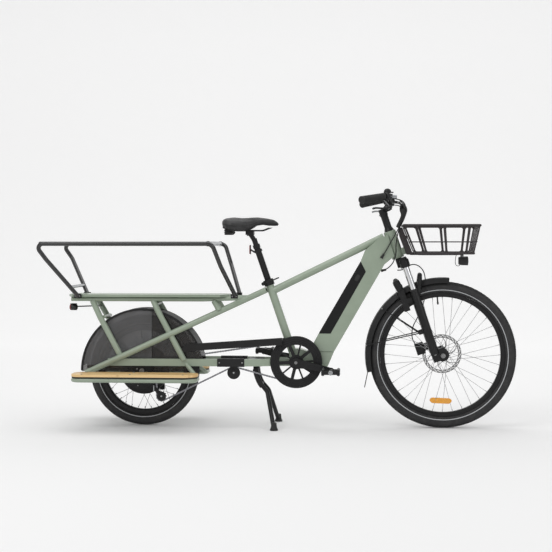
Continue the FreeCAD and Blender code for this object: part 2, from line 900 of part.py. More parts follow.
safety = []
safety_outers = []
for side in (-1, 1):
    loop = [
        at(-911, side * 102, 606),
        at(-1022, side * 250, 776),
        at(-1074.1, side * 259, 847),
        at(-268, side * 259, 847),
        at(-233, side * 222, 746),
        at(-179, side * 98, 607.5),
    ]
    safety_rail, solid_rail = tube(loop, "dims.safety_rail_radius", 34)
    safety_outers.append(solid_rail)
    safety.append(safety_rail)
rear_bar = rod(at(-1048, -250, 847), at(-1048, 250, 847), "dims.safety_rail_radius")
front_bar = rod(at(-288, -252, 847), at(-288, 252, 847), "dims.safety_rail_radius")
rear_brace = rod(at(-938, -138, 648), at(-938, 138, 648), 7)
cross_bars = [cut(piece, *safety_outers) for piece in (rear_bar, front_bar, rear_brace)]
node("safety_rails", group(*safety, *cross_bars))


# ---------------------------------------------------------------- rear wheel covers

guard_sides = [
    ("dims.skirt_radius - 3", -64.5),
    ("dims.skirt_radius", -64.5),
    ("dims.skirt_radius", 64.5),
    ("dims.skirt_radius - 3", 64.5),
]
node("rear_mudguard", turned(REAR_AXLE, guard_sides, 152, 24))

skirts = []
for side in (-1, 1):
    low_side = min(side * size.skirt_side, side * (size.skirt_side + size.skirt_thickness))
    panel_foot = REAR_AXLE + Vector(0, low_side, 0)
    panel_head = panel_foot + Vector(0, size.skirt_thickness, 0)
    disc = rod(panel_foot, panel_head, "dims.skirt_radius - 3.2")
    below = block(panel_foot + Vector(-400, -5, -400), panel_foot + Vector(400, 5, -4))
    below_stay = block(panel_foot + Vector(215, -5, -20), panel_foot + Vector(400, 5, 28))
    hub_window = rod(panel_foot - Vector(0, 5, 0), panel_foot + Vector(0, 5, 0), 30)
    skirts.append(cut(disc, below, below_stay, hub_window))
node("wheel_skirts", group(*skirts))


# ---------------------------------------------------------------- frame fittings


def ring(start, end, outer, inner):
    along = (end - start).normalize()
    return cut(rod(start, end, outer), rod(start - along, end + along, inner))


gap = size.running_gap
headset = [
    ring(steer(0, 0, 1), steer(0, 0, 10), size.head_radius - size.head_wall, size.steerer_radius + gap),
    ring(
        steer(0, 0, size.head_length - 10),
        steer(0, 0, size.head_length - 1),
        size.head_radius - size.head_wall,
        size.steerer_radius + gap,
    ),
]
cartridges = [
    ring(
        BRACKET + Vector(0, side * 24, 0),
        BRACKET + Vector(0, side * 35, 0),
        17.5,
        size.crank_axle_radius + gap,
    )
    for side in (-1, 1)
]
axle_bar = rod(REAR_AXLE - Vector(0, 86, 0), REAR_AXLE + Vector(0, 86, 0), "dims.rear_axle_radius")
axle_nuts = [
    rod(REAR_AXLE + Vector(0, side * 73.2, 0), REAR_AXLE + Vector(0, side * 82, 0), 12.5)
    for side in (-1, 1)
]
node("axle_and_bearings", group(*headset, *cartridges, fuse(axle_bar, *axle_nuts)))

cage_plates = [
    strap(GUIDE_JOCKEY, TENSION_JOCKEY, 8, -line + low, -line + high)
    for low, high in ((-6.4, -4.6), (4.6, 6.4))
]
cage_end = TENSION_JOCKEY - Vector(0, line + 6.4, 0)
cage_plates.append(rod(cage_end, cage_end + Vector(0, 1.8, 0), 17))
cage_pins = [
    rod(centre - Vector(0, line + 6, 0), centre - Vector(0, line - 6, 0), 4)
    for centre in (GUIDE_JOCKEY, TENSION_JOCKEY)
]
hanger = bar(at(-582, -64, 196), at(-606, -69, 242), 5, 20)
knuckle = rod(at(-580, -62.4, 198), at(-580, -74, 198), 12)
node("derailleur", cut(fuse(*cage_plates, *cage_pins, hanger, knuckle), *lower_stays, *dropouts))


def caliper_block(low, high, slot_low, slot_high):
    """A brake caliper: a block with a slot for the disc."""
    body = block(low, high)
    slot = block(
        Vector(low.x - 5, slot_low, low.z + 7),
        Vector(high.x + 5, slot_high, high.z + 5),
    )
    return cut(body, slot)


rear_caliper = caliper_block(at(-582, 50, 158), at(-532, 64, 196), 54, 59)
caliper_arm = bar(at(-580, 67, 190), at(-600, 69, 240), 6, 14)
node("rear_caliper", cut(fuse(rear_caliper, caliper_arm), *lower_stays, *dropouts))

stand_plate = block(at(-126, -56, 284), at(-58, 56, 314))
stand_ears = [
    block(at(-104, side * 18 - 3, 252), at(-78, side * 18 + 3, 285)) for side in (-1, 1)
]
stand_pin = rod(STAND_PIVOT - Vector(0, 46, 0), STAND_PIVOT + Vector(0, 46, 0), 6)
idler_arm = block(at(-203, -50, 240), at(-179, -46, 302))
idler_foot = block(at(-203, -66, 288), at(-179, -46, 302))
idler_pin = rod(IDLER - Vector(0, line + 8, 0), IDLER - Vector(0, line - 8, 0), 4)
spacers = [
    rod(at(x, side * 152, 236), at(x, side * 152, 246.9), 11)
    for side in (-1, 1)
    for x in (-860, -390)
]
rail_feet = []
for side in (-1, 1):
    low_side, high_side = sorted((side * 92.5, side * 106.5))
    for x in (-912, -184):
        rail_feet.append(block(at(x - 16, low_side, 596), at(x + 16, high_side, 616)))
brackets = [
    cut(fuse(stand_plate, *stand_ears, stand_pin), *stay_outers),
    cut(fuse(idler_arm, idler_foot, idler_pin), *stay_outers),
]
brackets += [cut(spacer, *board_tubes) for spacer in spacers]
brackets += [cut(foot, *safety_outers, nodes["rack_platform"], *rail_outers) for foot in rail_feet]
node("frame_brackets", group(*brackets, *dropouts))

bar_outline = [(33, 415), (33, 382), (-362, 354), (-424, 346), (-424, 372), (-405, 384), (-362, 387)]
guard_bar = plate(bar_outline, -79, -67)
air_outline = [(28, 411), (28, 386), (-362, 358), (-418, 351), (-418, 370), (-362, 383)]
guard_air = plate(air_outline, -76, -60)
front_tie = rod(at(20, -68, 407), at(42, -8, 407), 4)
rear_tie = block(at(-452, -79, 352), at(-420, -73, 366))
covers = [cut(fuse(cut(guard_bar, guard_air), front_tie, rear_tie), seat_outer, *upright_outers)]
for side in (-1, 1):
    low_side, high_side = sorted((side * 62.5, side * 87.5))
    sleeve_top = size.stay_low + size.stay_height + 2
    sleeve = block(at(-265, low_side, size.stay_low - 2), at(-140, high_side, sleeve_top))
    covers.append(cut(sleeve, *stay_outers, idler_foot))
node("frame_covers", group(*covers))

light_body = rod(at(-966, 0, 549), at(-942, 0, 549), 15)
light_arm = rod(at(-945, 0, 552), at(-836, 0, 556), 3)
light_bridge = rod(at(-836, -65, 556), at(-836, 65, 556), 4)
bridge_piece = cut(light_bridge, *upright_outers)
node("rear_light", group(light_body, cut(light_arm, light_body, light_bridge), bridge_piece))

CLAMP_LOW = seat_axis(size.seat_tube_length - 12)
CLAMP_TOP = seat_axis(size.seat_tube_length + 16)
collar = ring(CLAMP_LOW, CLAMP_TOP, 24, size.seatpost_radius + gap + 0.1)
clamp_bolt = rod(seat_axis(388, -26) - Vector(0, 16, 0), seat_axis(388, -26) + Vector(0, 16, 0), 4)
clamp_ear = rod(seat_axis(388, -26) - Vector(0, 9, 0), seat_axis(388, -26) + Vector(0, 9, 0), 8)
post_room = rod(seat_axis(300), seat_axis(450), size.seatpost_radius + gap + 0.1)
node("seat_clamp", cut(fuse(collar, clamp_bolt, clamp_ear), seat_outer, post_room,
                       *diagonal_outers, top_outer))


# ---------------------------------------------------------------- basket and headlight

RIM = {"rear": 588, "front": 930, "side": 160, "z": 930}
FLOOR = {"rear": 640, "front": 903, "side": 140, "z": 804}


def wall_point(along, side, height):
    """A place on a basket wall: along and side run -1 to 1, height 0 at the floor to 1."""
    rear = FLOOR["rear"] + (RIM["rear"] - FLOOR["rear"]) * height
    front = FLOOR["front"] + (RIM["front"] - FLOOR["front"]) * height
    reach = FLOOR["side"] + (RIM["side"] - FLOOR["side"]) * height
    x = (rear + front) / 2 + (front - rear) / 2 * along
    return at(x, side * reach, FLOOR["z"] + (RIM["z"] - FLOOR["z"]) * height)


def crossing(along_or_side, height, radius, across=False):
    """A level bar of the basket: along a side wall, or across from side to side."""
    if across:
        return rod(wall_point(along_or_side, -1, height), wall_point(along_or_side, 1, height), radius)
    return rod(wall_point(-1, along_or_side, height), wall_point(1, along_or_side, height), radius)


side_bands = []
for side in (-1, 1):
    for height, radius in ((0, 5.5), (1, 6)):
        knobs = [ball(wall_point(end, side, height), radius) for end in (-1, 1)]
        side_bands.append(fuse(crossing(side, height, radius), *knobs))
end_bands = []
for end in (-1, 1):
    for height, radius in ((0, 5.5), (1, 6)):
        end_bands.append(cut(crossing(end, height, radius, across=True), *side_bands))
bands = side_bands + end_bands

SIDE_UPRIGHTS = (-1, -0.62, 0.06, 0.72, 1)
upright_places = [(along, side) for side in (-1, 1) for along in SIDE_UPRIGHTS]
upright_places += [(-1, side) for side in (-0.5, 0.5)]
upright_places += [(1, side) for side in (-0.66, -0.33, 0, 0.33, 0.66)]
posts = [rod(wall_point(*place, 0), wall_point(*place, 1), 5) for place in upright_places]
wires = [crossing(side, 0.41, 2.5) for side in (-1, 1)]
wires += [crossing(end, 0.41, 2.5, across=True) for end in (-1, 1)]
floor_across = [crossing(along, 0, 4, across=True) for along in (-0.6, -0.2, 0.2, 0.6)]
floor_along = [crossing(side, 0, 4) for side in (-0.45, 0.45)]

CARRIER_OUTLINE = [(603, 800), (633, 800), (584, 922), (566, 922), (572, 880)]
cheeks = [plate(CARRIER_OUTLINE, side * 32 - 2, side * 32 + 2) for side in (-1, 1)]
web = plate([(603, 800), (607, 800), (576, 880), (572, 880)], -30, 30)
carrier_tools = [nodes["head_tube"], *bands, *posts, *floor_along]
basket_pieces = bands + [cut(post, *bands) for post in posts]
basket_pieces += [cut(wire, *posts) for wire in wires]
basket_pieces += [cut(floor_bar, *bands, *posts) for floor_bar in floor_across]
basket_pieces += [cut(floor_bar, *bands, *floor_across, *posts) for floor_bar in floor_along]
basket_pieces += [cut(piece, *carrier_tools) for piece in (*cheeks, web)]
node("basket", group(*basket_pieces))

lamp = block(at(842, -24, 750), at(884, 24, 787))
lamp_stem = rod(at(858, 0, 780), at(858, 0, 799.5), 6)
lens = rod(at(880, 0, 768), at(888, 0, 768), 16)
node("headlight", fuse(lamp, lamp_stem, lens))


# ---------------------------------------------------------------- fork

steerer = rod(steer(0, 0, -40), steer(0, 0, 222), "dims.steerer_radius")
crown_bridge = leaning_block((-16, -34, -44), (34, 34, -3))
crown_arms = leaning_block((-4, -64, -46), (36, 64, -16))
sockets = []
for side in (-1, 1):
    foot = steer(size.leg_forward, side * size.leg_side, -50)
    sockets.append(rod(foot, steer(size.leg_forward, side * size.leg_side, -14), 22))
stanchion_outers = []
for side in (-1, 1):
    leg = size.leg_side * side
    top = steer(size.leg_forward, leg, -30)
    end = steer(size.leg_forward, leg, -360)
    stanchion_outers.append(rod(top, end, "dims.stanchion_radius"))
stanchions = [
    cut(
        outer,
        rod(
            steer(size.leg_forward, side * size.leg_side, -25),
            steer(size.leg_forward, side * size.leg_side, -356),
            12,
        ),
    )
    for side, outer in zip((-1, 1), stanchion_outers)
]
node("fork_crown", cut(fuse(steerer, crown_bridge, crown_arms, *sockets), *stanchion_outers))
node("stanchions", group(*stanchions))

axle_room = rod(
    FRONT_AXLE - Vector(0, 90, 0), FRONT_AXLE + Vector(0, 90, 0), size.front_axle_radius
)
leg_shapes = []
leg_bores = []
for side in (-1, 1):
    leg = size.leg_side * side
    shaft = rod(
        steer(size.leg_forward, leg, -168), steer(size.leg_forward, leg, -468), "dims.lower_radius"
    )
    seal = rod(steer(size.leg_forward, leg, -158), steer(size.leg_forward, leg, -172), 18)
    ends = sorted((side * 51, side * 66))
    lug_plate = leaning_block((2, ends[0], -504), (68, ends[1], -450))
    leg_shapes += [shaft, seal, lug_plate]
    leg_bores.append(
        rod(
            steer(size.leg_forward, leg, -150),
            steer(size.leg_forward, leg, -440),
            size.stanchion_radius + 0.08,
        )
    )
arch = pipe(
    [
        steer(30, -62, -190),
        steer(60, -60, -124),
        steer(68, -34, -104),
        steer(68, 34, -104),
        steer(60, 60, -124),
        steer(30, 62, -190),
    ],
    10,
    16,
)
fork_lowers = node("fork_lowers", cut(fuse(*leg_shapes, arch), *leg_bores, axle_room))
front_bar_axle = rod(
    FRONT_AXLE - Vector(0, 74, 0), FRONT_AXLE + Vector(0, 74, 0), "dims.front_axle_radius"
)
front_nuts = [
    rod(FRONT_AXLE + Vector(0, side * 66.2, 0), FRONT_AXLE + Vector(0, side * 74, 0), 11)
    for side in (-1, 1)
]
node("front_axle", fuse(front_bar_axle, *front_nuts))

guard_shell = turned(
    FRONT_AXLE,
    [
        ("dims.mudguard_radius - 22", -37),
        ("dims.mudguard_radius - 22", -39),
        ("dims.mudguard_radius + 1", -31),
        ("dims.mudguard_radius + 4", 0),
        ("dims.mudguard_radius + 1", 31),
        ("dims.mudguard_radius - 22", 39),
        ("dims.mudguard_radius - 22", 37),
        ("dims.mudguard_radius - 1.5", 28.5),
        ("dims.mudguard_radius + 1.5", 0),
        ("dims.mudguard_radius - 1.5", -28.5),
    ],
    108.5,
    85,
)
guard_stays = []
for side in (-1, 1):
    for tip in (at(491, side * 40.5, 550), at(418, side * 40.5, 380)):
        guard_stays.append(rod(at(662, side * 52, 438), tip, 2.5))
flap = bar(around(FRONT_AXLE, 352, 193.3), around(FRONT_AXLE, 388, 203), 60, 3)
stay_wires = [cut(wire, fork_lowers) for wire in guard_stays]
node("front_mudguard", group(cut(guard_shell, *guard_stays), cut(flap, guard_shell), *stay_wires))

caliper_body = leaning_block((-58, 31, -458), (-18, 56, -404))
caliper_slot = leaning_block((-48, 38, -470), (-5, 45, -380))
caliper_tab = leaning_block((-24, 48, -448), (4, 62, -414))
node("front_caliper", cut(fuse(caliper_body, caliper_tab), caliper_slot, fork_lowers))

lock_arms = []
for side in (-1, 1):
    sides = sorted((side * 40, side * 56))
    lock_arms.append(leaning_block((-52, sides[0], -243), (-24, sides[1], -120)))
    lock_arms.append(leaning_block((-30, sides[0], -212), (4, sides[1], -188)))
lock_arch = pipe(
    [
        steer(-40, -48, -130),
        steer(-44, -48, -104),
        steer(-46, 0, -96),
        steer(-44, 48, -104),
        steer(-40, 48, -130),
    ],
    12,
    24,
)
lock_barrel = rod(steer(-47, -50, -98), steer(-40, -50, -140), 16)
node("ring_lock", cut(fuse(*lock_arms, lock_arch, lock_barrel), fork_lowers, *guard_stays))


# ---------------------------------------------------------------- cockpit

BAR_CENTRE = at(519, 0, 1015)
BAR_KNEE = at(522, 186, 1062)
GRIP_INNER = at(495, 215, 1057)
BAR_END = at(398, 320, 1039)
bar_path = [
    on_side(BAR_END, -1),
    on_side(BAR_KNEE, -1),
    at(519, -62, 1015),
    at(519, 62, 1015),
    BAR_KNEE,
    BAR_END,
]
bar_outer = pipe(bar_path, "dims.bar_radius", 70)
bar_air = pipe(bar_path, size.bar_radius - size.tube_wall, 70)
node("handlebar", cut(bar_outer, bar_air))

column = rod(steer(0, 0, size.head_length + 1), steer(0, 0, 224), "dims.column_radius")
spacer = cone(steer(0, 0, size.head_length + 0.6), steer(0, 0, 150), 24, "dims.column_radius")
stem_cap = rod(steer(0, 0, 206), steer(0, 0, 238), 19)
reach_arm = rod(steer(0, 0, 226), BAR_CENTRE, 15)
clamp = rod(BAR_CENTRE - Vector(0, 24, 0), BAR_CENTRE + Vector(0, 24, 0), 18)
stem_hole = rod(steer(0, 0, 100), steer(0, 0, 222), "dims.steerer_radius")
clamp_hole = rod(BAR_CENTRE - Vector(0, 30, 0), BAR_CENTRE + Vector(0, 30, 0), "dims.bar_radius")
node("stem", cut(fuse(column, spacer, stem_cap, reach_arm, clamp), stem_hole, clamp_hole))

grips = []
for side in (-1, 1):
    inner = on_side(GRIP_INNER, side)
    end = on_side(BAR_END, side)
    along = (end - inner).normalize()
    sleeve = rod(inner, end + along * 3, "dims.grip_radius")
    grips.append(cut(sleeve, bar_outer, rod(inner - along, end, size.bar_radius)))
node("grips", group(*grips))


LEVER_TILT = 60
LEVER_BACK = -26
LEVER_REACH = 45


def lever_frame(side):
    """Directions of one brake lever: out along the grip, towards the fingers, and its pivot axis."""
    grip = (on_side(BAR_END, side) - on_side(GRIP_INNER, side)).normalize()
    level = Vector(-grip.y * side, grip.x * side, 0).normalize()
    forward = level if level.x > 0 else level * -1
    tilt = math.radians(LEVER_TILT)
    fingers = forward * math.cos(tilt) - Vector(0, 0, 1) * math.sin(tilt)
    fingers = (fingers - grip * fingers.dot(grip)).normalize()
    return grip, fingers, grip.cross(fingers)


def oriented_block(origin, axes, low, high):
    """A box along three given directions, between two corners measured from origin."""
    along, across, up = axes
    obj = doc.addObject("Part::Box", "block")
    obj.Length = high[0] - low[0]
    obj.Width = high[1] - low[1]
    obj.Height = high[2] - low[2]
    corner = origin + along * low[0] + across * low[1] + up * low[2]
    obj.Placement = Placement(corner, Rotation(along, across, up, "XYZ"))
    return obj


def lever_pivot(side):
    grip, fingers, _ = lever_frame(side)
    return on_side(GRIP_INNER, side) + grip * LEVER_BACK + fingers * LEVER_REACH


lever_bodies = []
for side, name in ((-1, "right_brake_lever"), (1, "left_brake_lever")):
    axes = lever_frame(side)
    inner = on_side(GRIP_INNER, side)
    pivot = lever_pivot(side)
    grip, fingers, axis = axes
    clamp_ring = rod(inner + grip * -24, inner + grip * -8, 17)
    cylinder_body = oriented_block(inner, axes, (-34, 10, -9), (-6, 30, 9))
    ears = [oriented_block(inner, axes, (-33, 28, low), (-18, 53, low + 3)) for low in (-9, 6)]
    pin = rod(pivot - axis * 9, pivot + axis * 9, 3)
    lever_bodies.append(cut(fuse(clamp_ring, cylinder_body, *ears, pin), bar_outer))
    blade_points = [
        pivot,
        pivot + grip * 22 + fingers * 12,
        pivot + grip * 62 + fingers * 13,
        pivot + grip * 128 + fingers * 5,
    ]
    blade = pipe(blade_points, 4.5, 20)
    eye = rod(pivot - axis * 5.5, pivot + axis * 5.5, 7)
    pivot_hole = rod(pivot - axis * 12, pivot + axis * 12, 3 + gap)
    node(name, cut(fuse(blade, eye), pivot_hole))

BELL = at(514, -176, 1083)
bell_dome = cut(ball(BELL, 17), block(BELL + Vector(-20, -20, -20), BELL + Vector(20, 20, -9)))
bell_post = rod(BELL - Vector(0, 0, 24), BELL - Vector(0, 0, 8), 7)
striker_pin = rod(BELL + Vector(22, 0, -16), BELL + Vector(22, 0, -5), 2.5)
striker_arm = block(BELL + Vector(4, -3, -16), BELL + Vector(24, 3, -12))
display_body = block(at(512, -122, 1053), at(562, -64, 1069))
display_foot = rod(at(524, -92, 1038), at(532, -92, 1055), 6)
display_ring = rod(at(521, -104, 1034), at(519.5, -84, 1026), 15)
shifter_body = rod(at(527, -142, 1036), at(534, -160, 1043), 17)
right_body, left_body = lever_bodies
bell = cut(fuse(bell_dome, bell_post, striker_arm, striker_pin), bar_outer, right_body, shifter_body)
display = cut(fuse(display_body, display_foot, display_ring), bar_outer, shifter_body)
shifter = cut(shifter_body, bar_outer, right_body)
node("controls", group(right_body, left_body, bell, display, shifter))
STRIKER_PIVOT = BELL + Vector(22, 0, -5)
striker_eye = rod(STRIKER_PIVOT + Vector(0, 0, -3), STRIKER_PIVOT + Vector(0, 0, 2), 5)
striker_tab = block(STRIKER_PIVOT + Vector(-2, -14, -2), STRIKER_PIVOT + Vector(3, -2, 1))
striker_room = rod(STRIKER_PIVOT + Vector(0, 0, -6), STRIKER_PIVOT + Vector(0, 0, 6), 2.5 + gap)
node("bell_striker", cut(fuse(striker_eye, striker_tab), striker_room))


# ---------------------------------------------------------------- cables

SHIFT_CABLE = [
    at(545, -146, 1050),
    at(572, -120, 1048),
    at(596, -84, 1030),
    at(602, -54, 992),
    at(584, -40, 948),
    at(560, -38, 905),
    at(532, -44, 856),
    at(508, -45, 812),
    at(490, -42, 784),
]
BRAKE_HOSE = [
    at(540, -150, 1040),
    at(566, -106, 1038),
    at(590, -66, 1018),
    at(594, -38, 982),
    at(578, -36, 940),
    at(563, -43, 895),
    at(554, -45, 845),
    at(556, -44, 800),
    at(542, -31, 757),
    at(512, -14, 728),
    at(489.5, -8, 723),
]
FRONT_HOSE = [
    steer(-22, 14, -52),
    steer(4, 20, -62),
    steer(44, 30, -44),
    steer(80, 40, -62),
    steer(96, 52, -104),
    steer(78, 72, -170),
    steer(52, 89, -232),
    steer(24, 92, -268),
    steer(-6, 91, -298),
    steer(-38, 86, -328),
    steer(-55, 78, -364),
    steer(-57, 69, -396),
    steer(-46, 61, -420),
]
cables = [pipe(route, 2.5, 60) for route in (SHIFT_CABLE, BRAKE_HOSE, FRONT_HOSE)]
node("control_cables", group(*cables))


# ---------------------------------------------------------------- seat

POST_TOP = seat_axis(600)
SADDLE_CLAMP = at(-122, 0, 896)
post_outer = rod(seat_axis(200), seat_axis(562), "dims.seatpost_radius")
post_air = rod(seat_axis(190), seat_axis(548), size.seatpost_radius - 2.5)
post_collar = rod(seat_axis(556), seat_axis(572), 17)
slim_post = rod(seat_axis(560), POST_TOP, 12.5)
post_arm = rod(POST_TOP - Vector(0, 0, 4), SADDLE_CLAMP, 11)
clamp_block = block(SADDLE_CLAMP + Vector(-18, -24, -8), SADDLE_CLAMP + Vector(20, 24, 12))
saddle_rails = []
for side in (-1, 1):
    saddle_rails.append(
        pipe(
            [
                at(-226, side * 36, 926),
                at(-190, side * 26, 908),
                at(-60, side * 22, 908),
                at(-14, side * 14, 926),
            ],
            3.5,
            30,
        )
    )
tail_springs = [
    rod(at(-222, side * 34, 888), at(-222, side * 34, 921.5), 15) for side in (-1, 1)
]
post_pieces = [post_collar, slim_post, post_arm, clamp_block, *saddle_rails, *tail_springs]
saddle_room = block(at(-260, -100, 921.8), at(30, 100, 960))
node("seatpost", cut(fuse(cut(post_outer, post_air), *post_pieces), saddle_room))
SADDLE_PLAN = [
    (19, 10),
    (10, 19),
    (-60, 32),
    (-110, 48),
    (-160, 78),
    (-205, 92),
    (-236, 84),
    (-250, 50),
]
SADDLE_SIDE = [
    (19, 932),
    (19, 942),
    (8, 954),
    (-6, 962),
    (-30, 967),
    (-70, 969),
    (-146, 966),
    (-220, 970),
    (-246, 966),
    (-251, 950),
    (-250, 922),
    (-60, 922),
    (-42, 929),
]
WING_PLAN = [(-96, 50), (-116, 54), (-160, 79), (-192, 88), (-192, 50)]
saddle_plan = slab(SADDLE_PLAN + [(x, -y) for x, y in reversed(SADDLE_PLAN)], 900, 980)
saddle_side = plate(SADDLE_SIDE, -95, 95)
saddle_core = doc.addObject("Part::Common", "saddle_core")
saddle_core.Base = saddle_plan
saddle_core.Tool = saddle_side
wings = [slab([(x, side * y) for x, y in WING_PLAN], 907, 930) for side in (-1, 1)]
node("saddle", fuse(saddle_core, *wings))


# ---------------------------------------------------------------- stand

stand_barrels = [
    ring(
        STAND_PIVOT + Vector(0, side * 23, 0),
        STAND_PIVOT + Vector(0, side * 45, 0),
        12,
        6 + gap,
    )
    for side in (-1, 1)
]
stand_legs = []
for side in (-1, 1):
    path = [
        at(-91, side * 36, 256),
        at(-71, side * 38, 203),
        at(-37, side * 42, 164),
        at(1, side * 148, 9),
    ]
    leg = pipe(path, "dims.stand_radius", 26)
    foot = rod(at(2, side * 150, 0), at(2, side * 150, 10), 16)
    pin_room = rod(
        STAND_PIVOT + Vector(0, side * 20, 0), STAND_PIVOT + Vector(0, side * 50, 0), 6 + gap
    )
    stand_legs.append(cut(fuse(leg, foot), pin_room))
under_pivot = rod(at(-66, -40, 196), at(-66, 40, 196), 8)
node("stand_legs", fuse(*stand_barrels, *stand_legs, under_pivot))


# ---------------------------------------------------------------- check and write

doc.recompute()
for obj in doc.Objects:
    if "Invalid" in obj.State or "Error" in obj.State:
        raise RuntimeError(f"{obj.Name} ({obj.Label}) has state {obj.State}")
for name, obj in nodes.items():
    shape = obj.Shape
    if shape.isNull() or not shape.isValid() or not shape.Solids:
        raise RuntimeError(f"{name} has no valid shape")

os.makedirs("parts", exist_ok=True)
for name, obj in nodes.items():
    obj.Shape.exportStep(f"parts/{name}.step")
print(len(nodes), "sub-parts")
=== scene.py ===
"""The looks of a long cargo bicycle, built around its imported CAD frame.

Lengths are millimetres in the CAD row's own frame (+X forward, +Y left, +Z up), and piece()
turns them into metres. Places are given from the same datum as in part.py.
"""
import json
import math

import bmesh
import bpy
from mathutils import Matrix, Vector


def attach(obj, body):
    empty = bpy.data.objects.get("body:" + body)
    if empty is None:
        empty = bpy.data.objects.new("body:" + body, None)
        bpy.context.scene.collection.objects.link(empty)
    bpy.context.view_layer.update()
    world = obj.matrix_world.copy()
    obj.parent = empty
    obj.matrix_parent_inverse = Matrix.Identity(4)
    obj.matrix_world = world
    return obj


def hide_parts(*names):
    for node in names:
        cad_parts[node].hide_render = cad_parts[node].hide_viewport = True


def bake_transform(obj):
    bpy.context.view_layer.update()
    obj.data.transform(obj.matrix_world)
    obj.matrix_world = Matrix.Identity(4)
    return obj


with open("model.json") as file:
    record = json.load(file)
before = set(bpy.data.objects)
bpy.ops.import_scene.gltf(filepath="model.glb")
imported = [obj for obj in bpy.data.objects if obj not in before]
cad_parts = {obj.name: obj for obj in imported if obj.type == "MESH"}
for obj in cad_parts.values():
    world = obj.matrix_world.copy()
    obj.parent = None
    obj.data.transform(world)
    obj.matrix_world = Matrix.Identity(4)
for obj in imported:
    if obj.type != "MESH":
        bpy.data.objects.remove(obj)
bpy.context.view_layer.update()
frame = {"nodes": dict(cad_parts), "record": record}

MM = 0.001
DATUM_X = 20.25
HEAD_LEAN = math.radians(18.5)
SEAT_LEAN = math.radians(18.9)
CHAIN_LINE = 56
CHAIN_PITCH = 12.7
UP = Vector((0, 0, 1))
LEFT = Vector((0, 1, 0))
AHEAD = Vector((1, 0, 0))


# ---------------------------------------------------------------- places


def at(x, y, z):
    """A place in side-view measures."""
    return Vector((x - DATUM_X, y, z))


def steer(forward, side, up):
    """A place given from the lower end of the head tube, along the steering axis."""
    x = 567 + forward * math.cos(HEAD_LEAN) - up * math.sin(HEAD_LEAN)
    z = 781 + forward * math.sin(HEAD_LEAN) + up * math.cos(HEAD_LEAN)
    return at(x, side, z)


def seat_axis(distance, forward=0):
    """A place along the seat tube, measured up from the bottom bracket."""
    x = 92 - distance * math.sin(SEAT_LEAN) + forward * math.cos(SEAT_LEAN)
    return at(x, 0, 302 + distance * math.cos(SEAT_LEAN) + forward * math.sin(SEAT_LEAN))


def around(centre, radius, degrees, y=0):
    """A place on a circle in the side view, counted from +X towards +Z."""
    turn = math.radians(degrees)
    return Vector((centre.x + radius * math.cos(turn), y, centre.z + radius * math.sin(turn)))


def on_side(point, side):
    return Vector((point.x, abs(point.y) * side, point.z))


FRONT_AXLE = at(768.5, 0, 337)
REAR_AXLE = at(-616, 0, 258)
BRACKET = at(98, 0, 303)
IDLER = at(-191, 0, 252)
GUIDE_JOCKEY = at(-573, 0, 193)
TENSION_JOCKEY = at(-527.5, 0, 141)
STAND_PIVOT = at(-91, 0, 262)
STEER_AXIS = steer(0, 0, 1) - steer(0, 0, 0)
BAR_CENTRE = at(519, 0, 1015)
GRIP_INNER = at(495, 215, 1057)
BAR_END = at(398, 320, 1039)
BELL = at(514, -176, 1083)
SKIRT_SEAM = -571


# ---------------------------------------------------------------- finishes


def linear(hexadecimal):
    """A colour written as #rrggbb, as the shader wants it."""
    values = [int(hexadecimal[i : i + 2], 16) / 255 for i in (1, 3, 5)]
    return [v / 12.92 if v <= 0.04045 else ((v + 0.055) / 1.055) ** 2.4 for v in values] + [1.0]


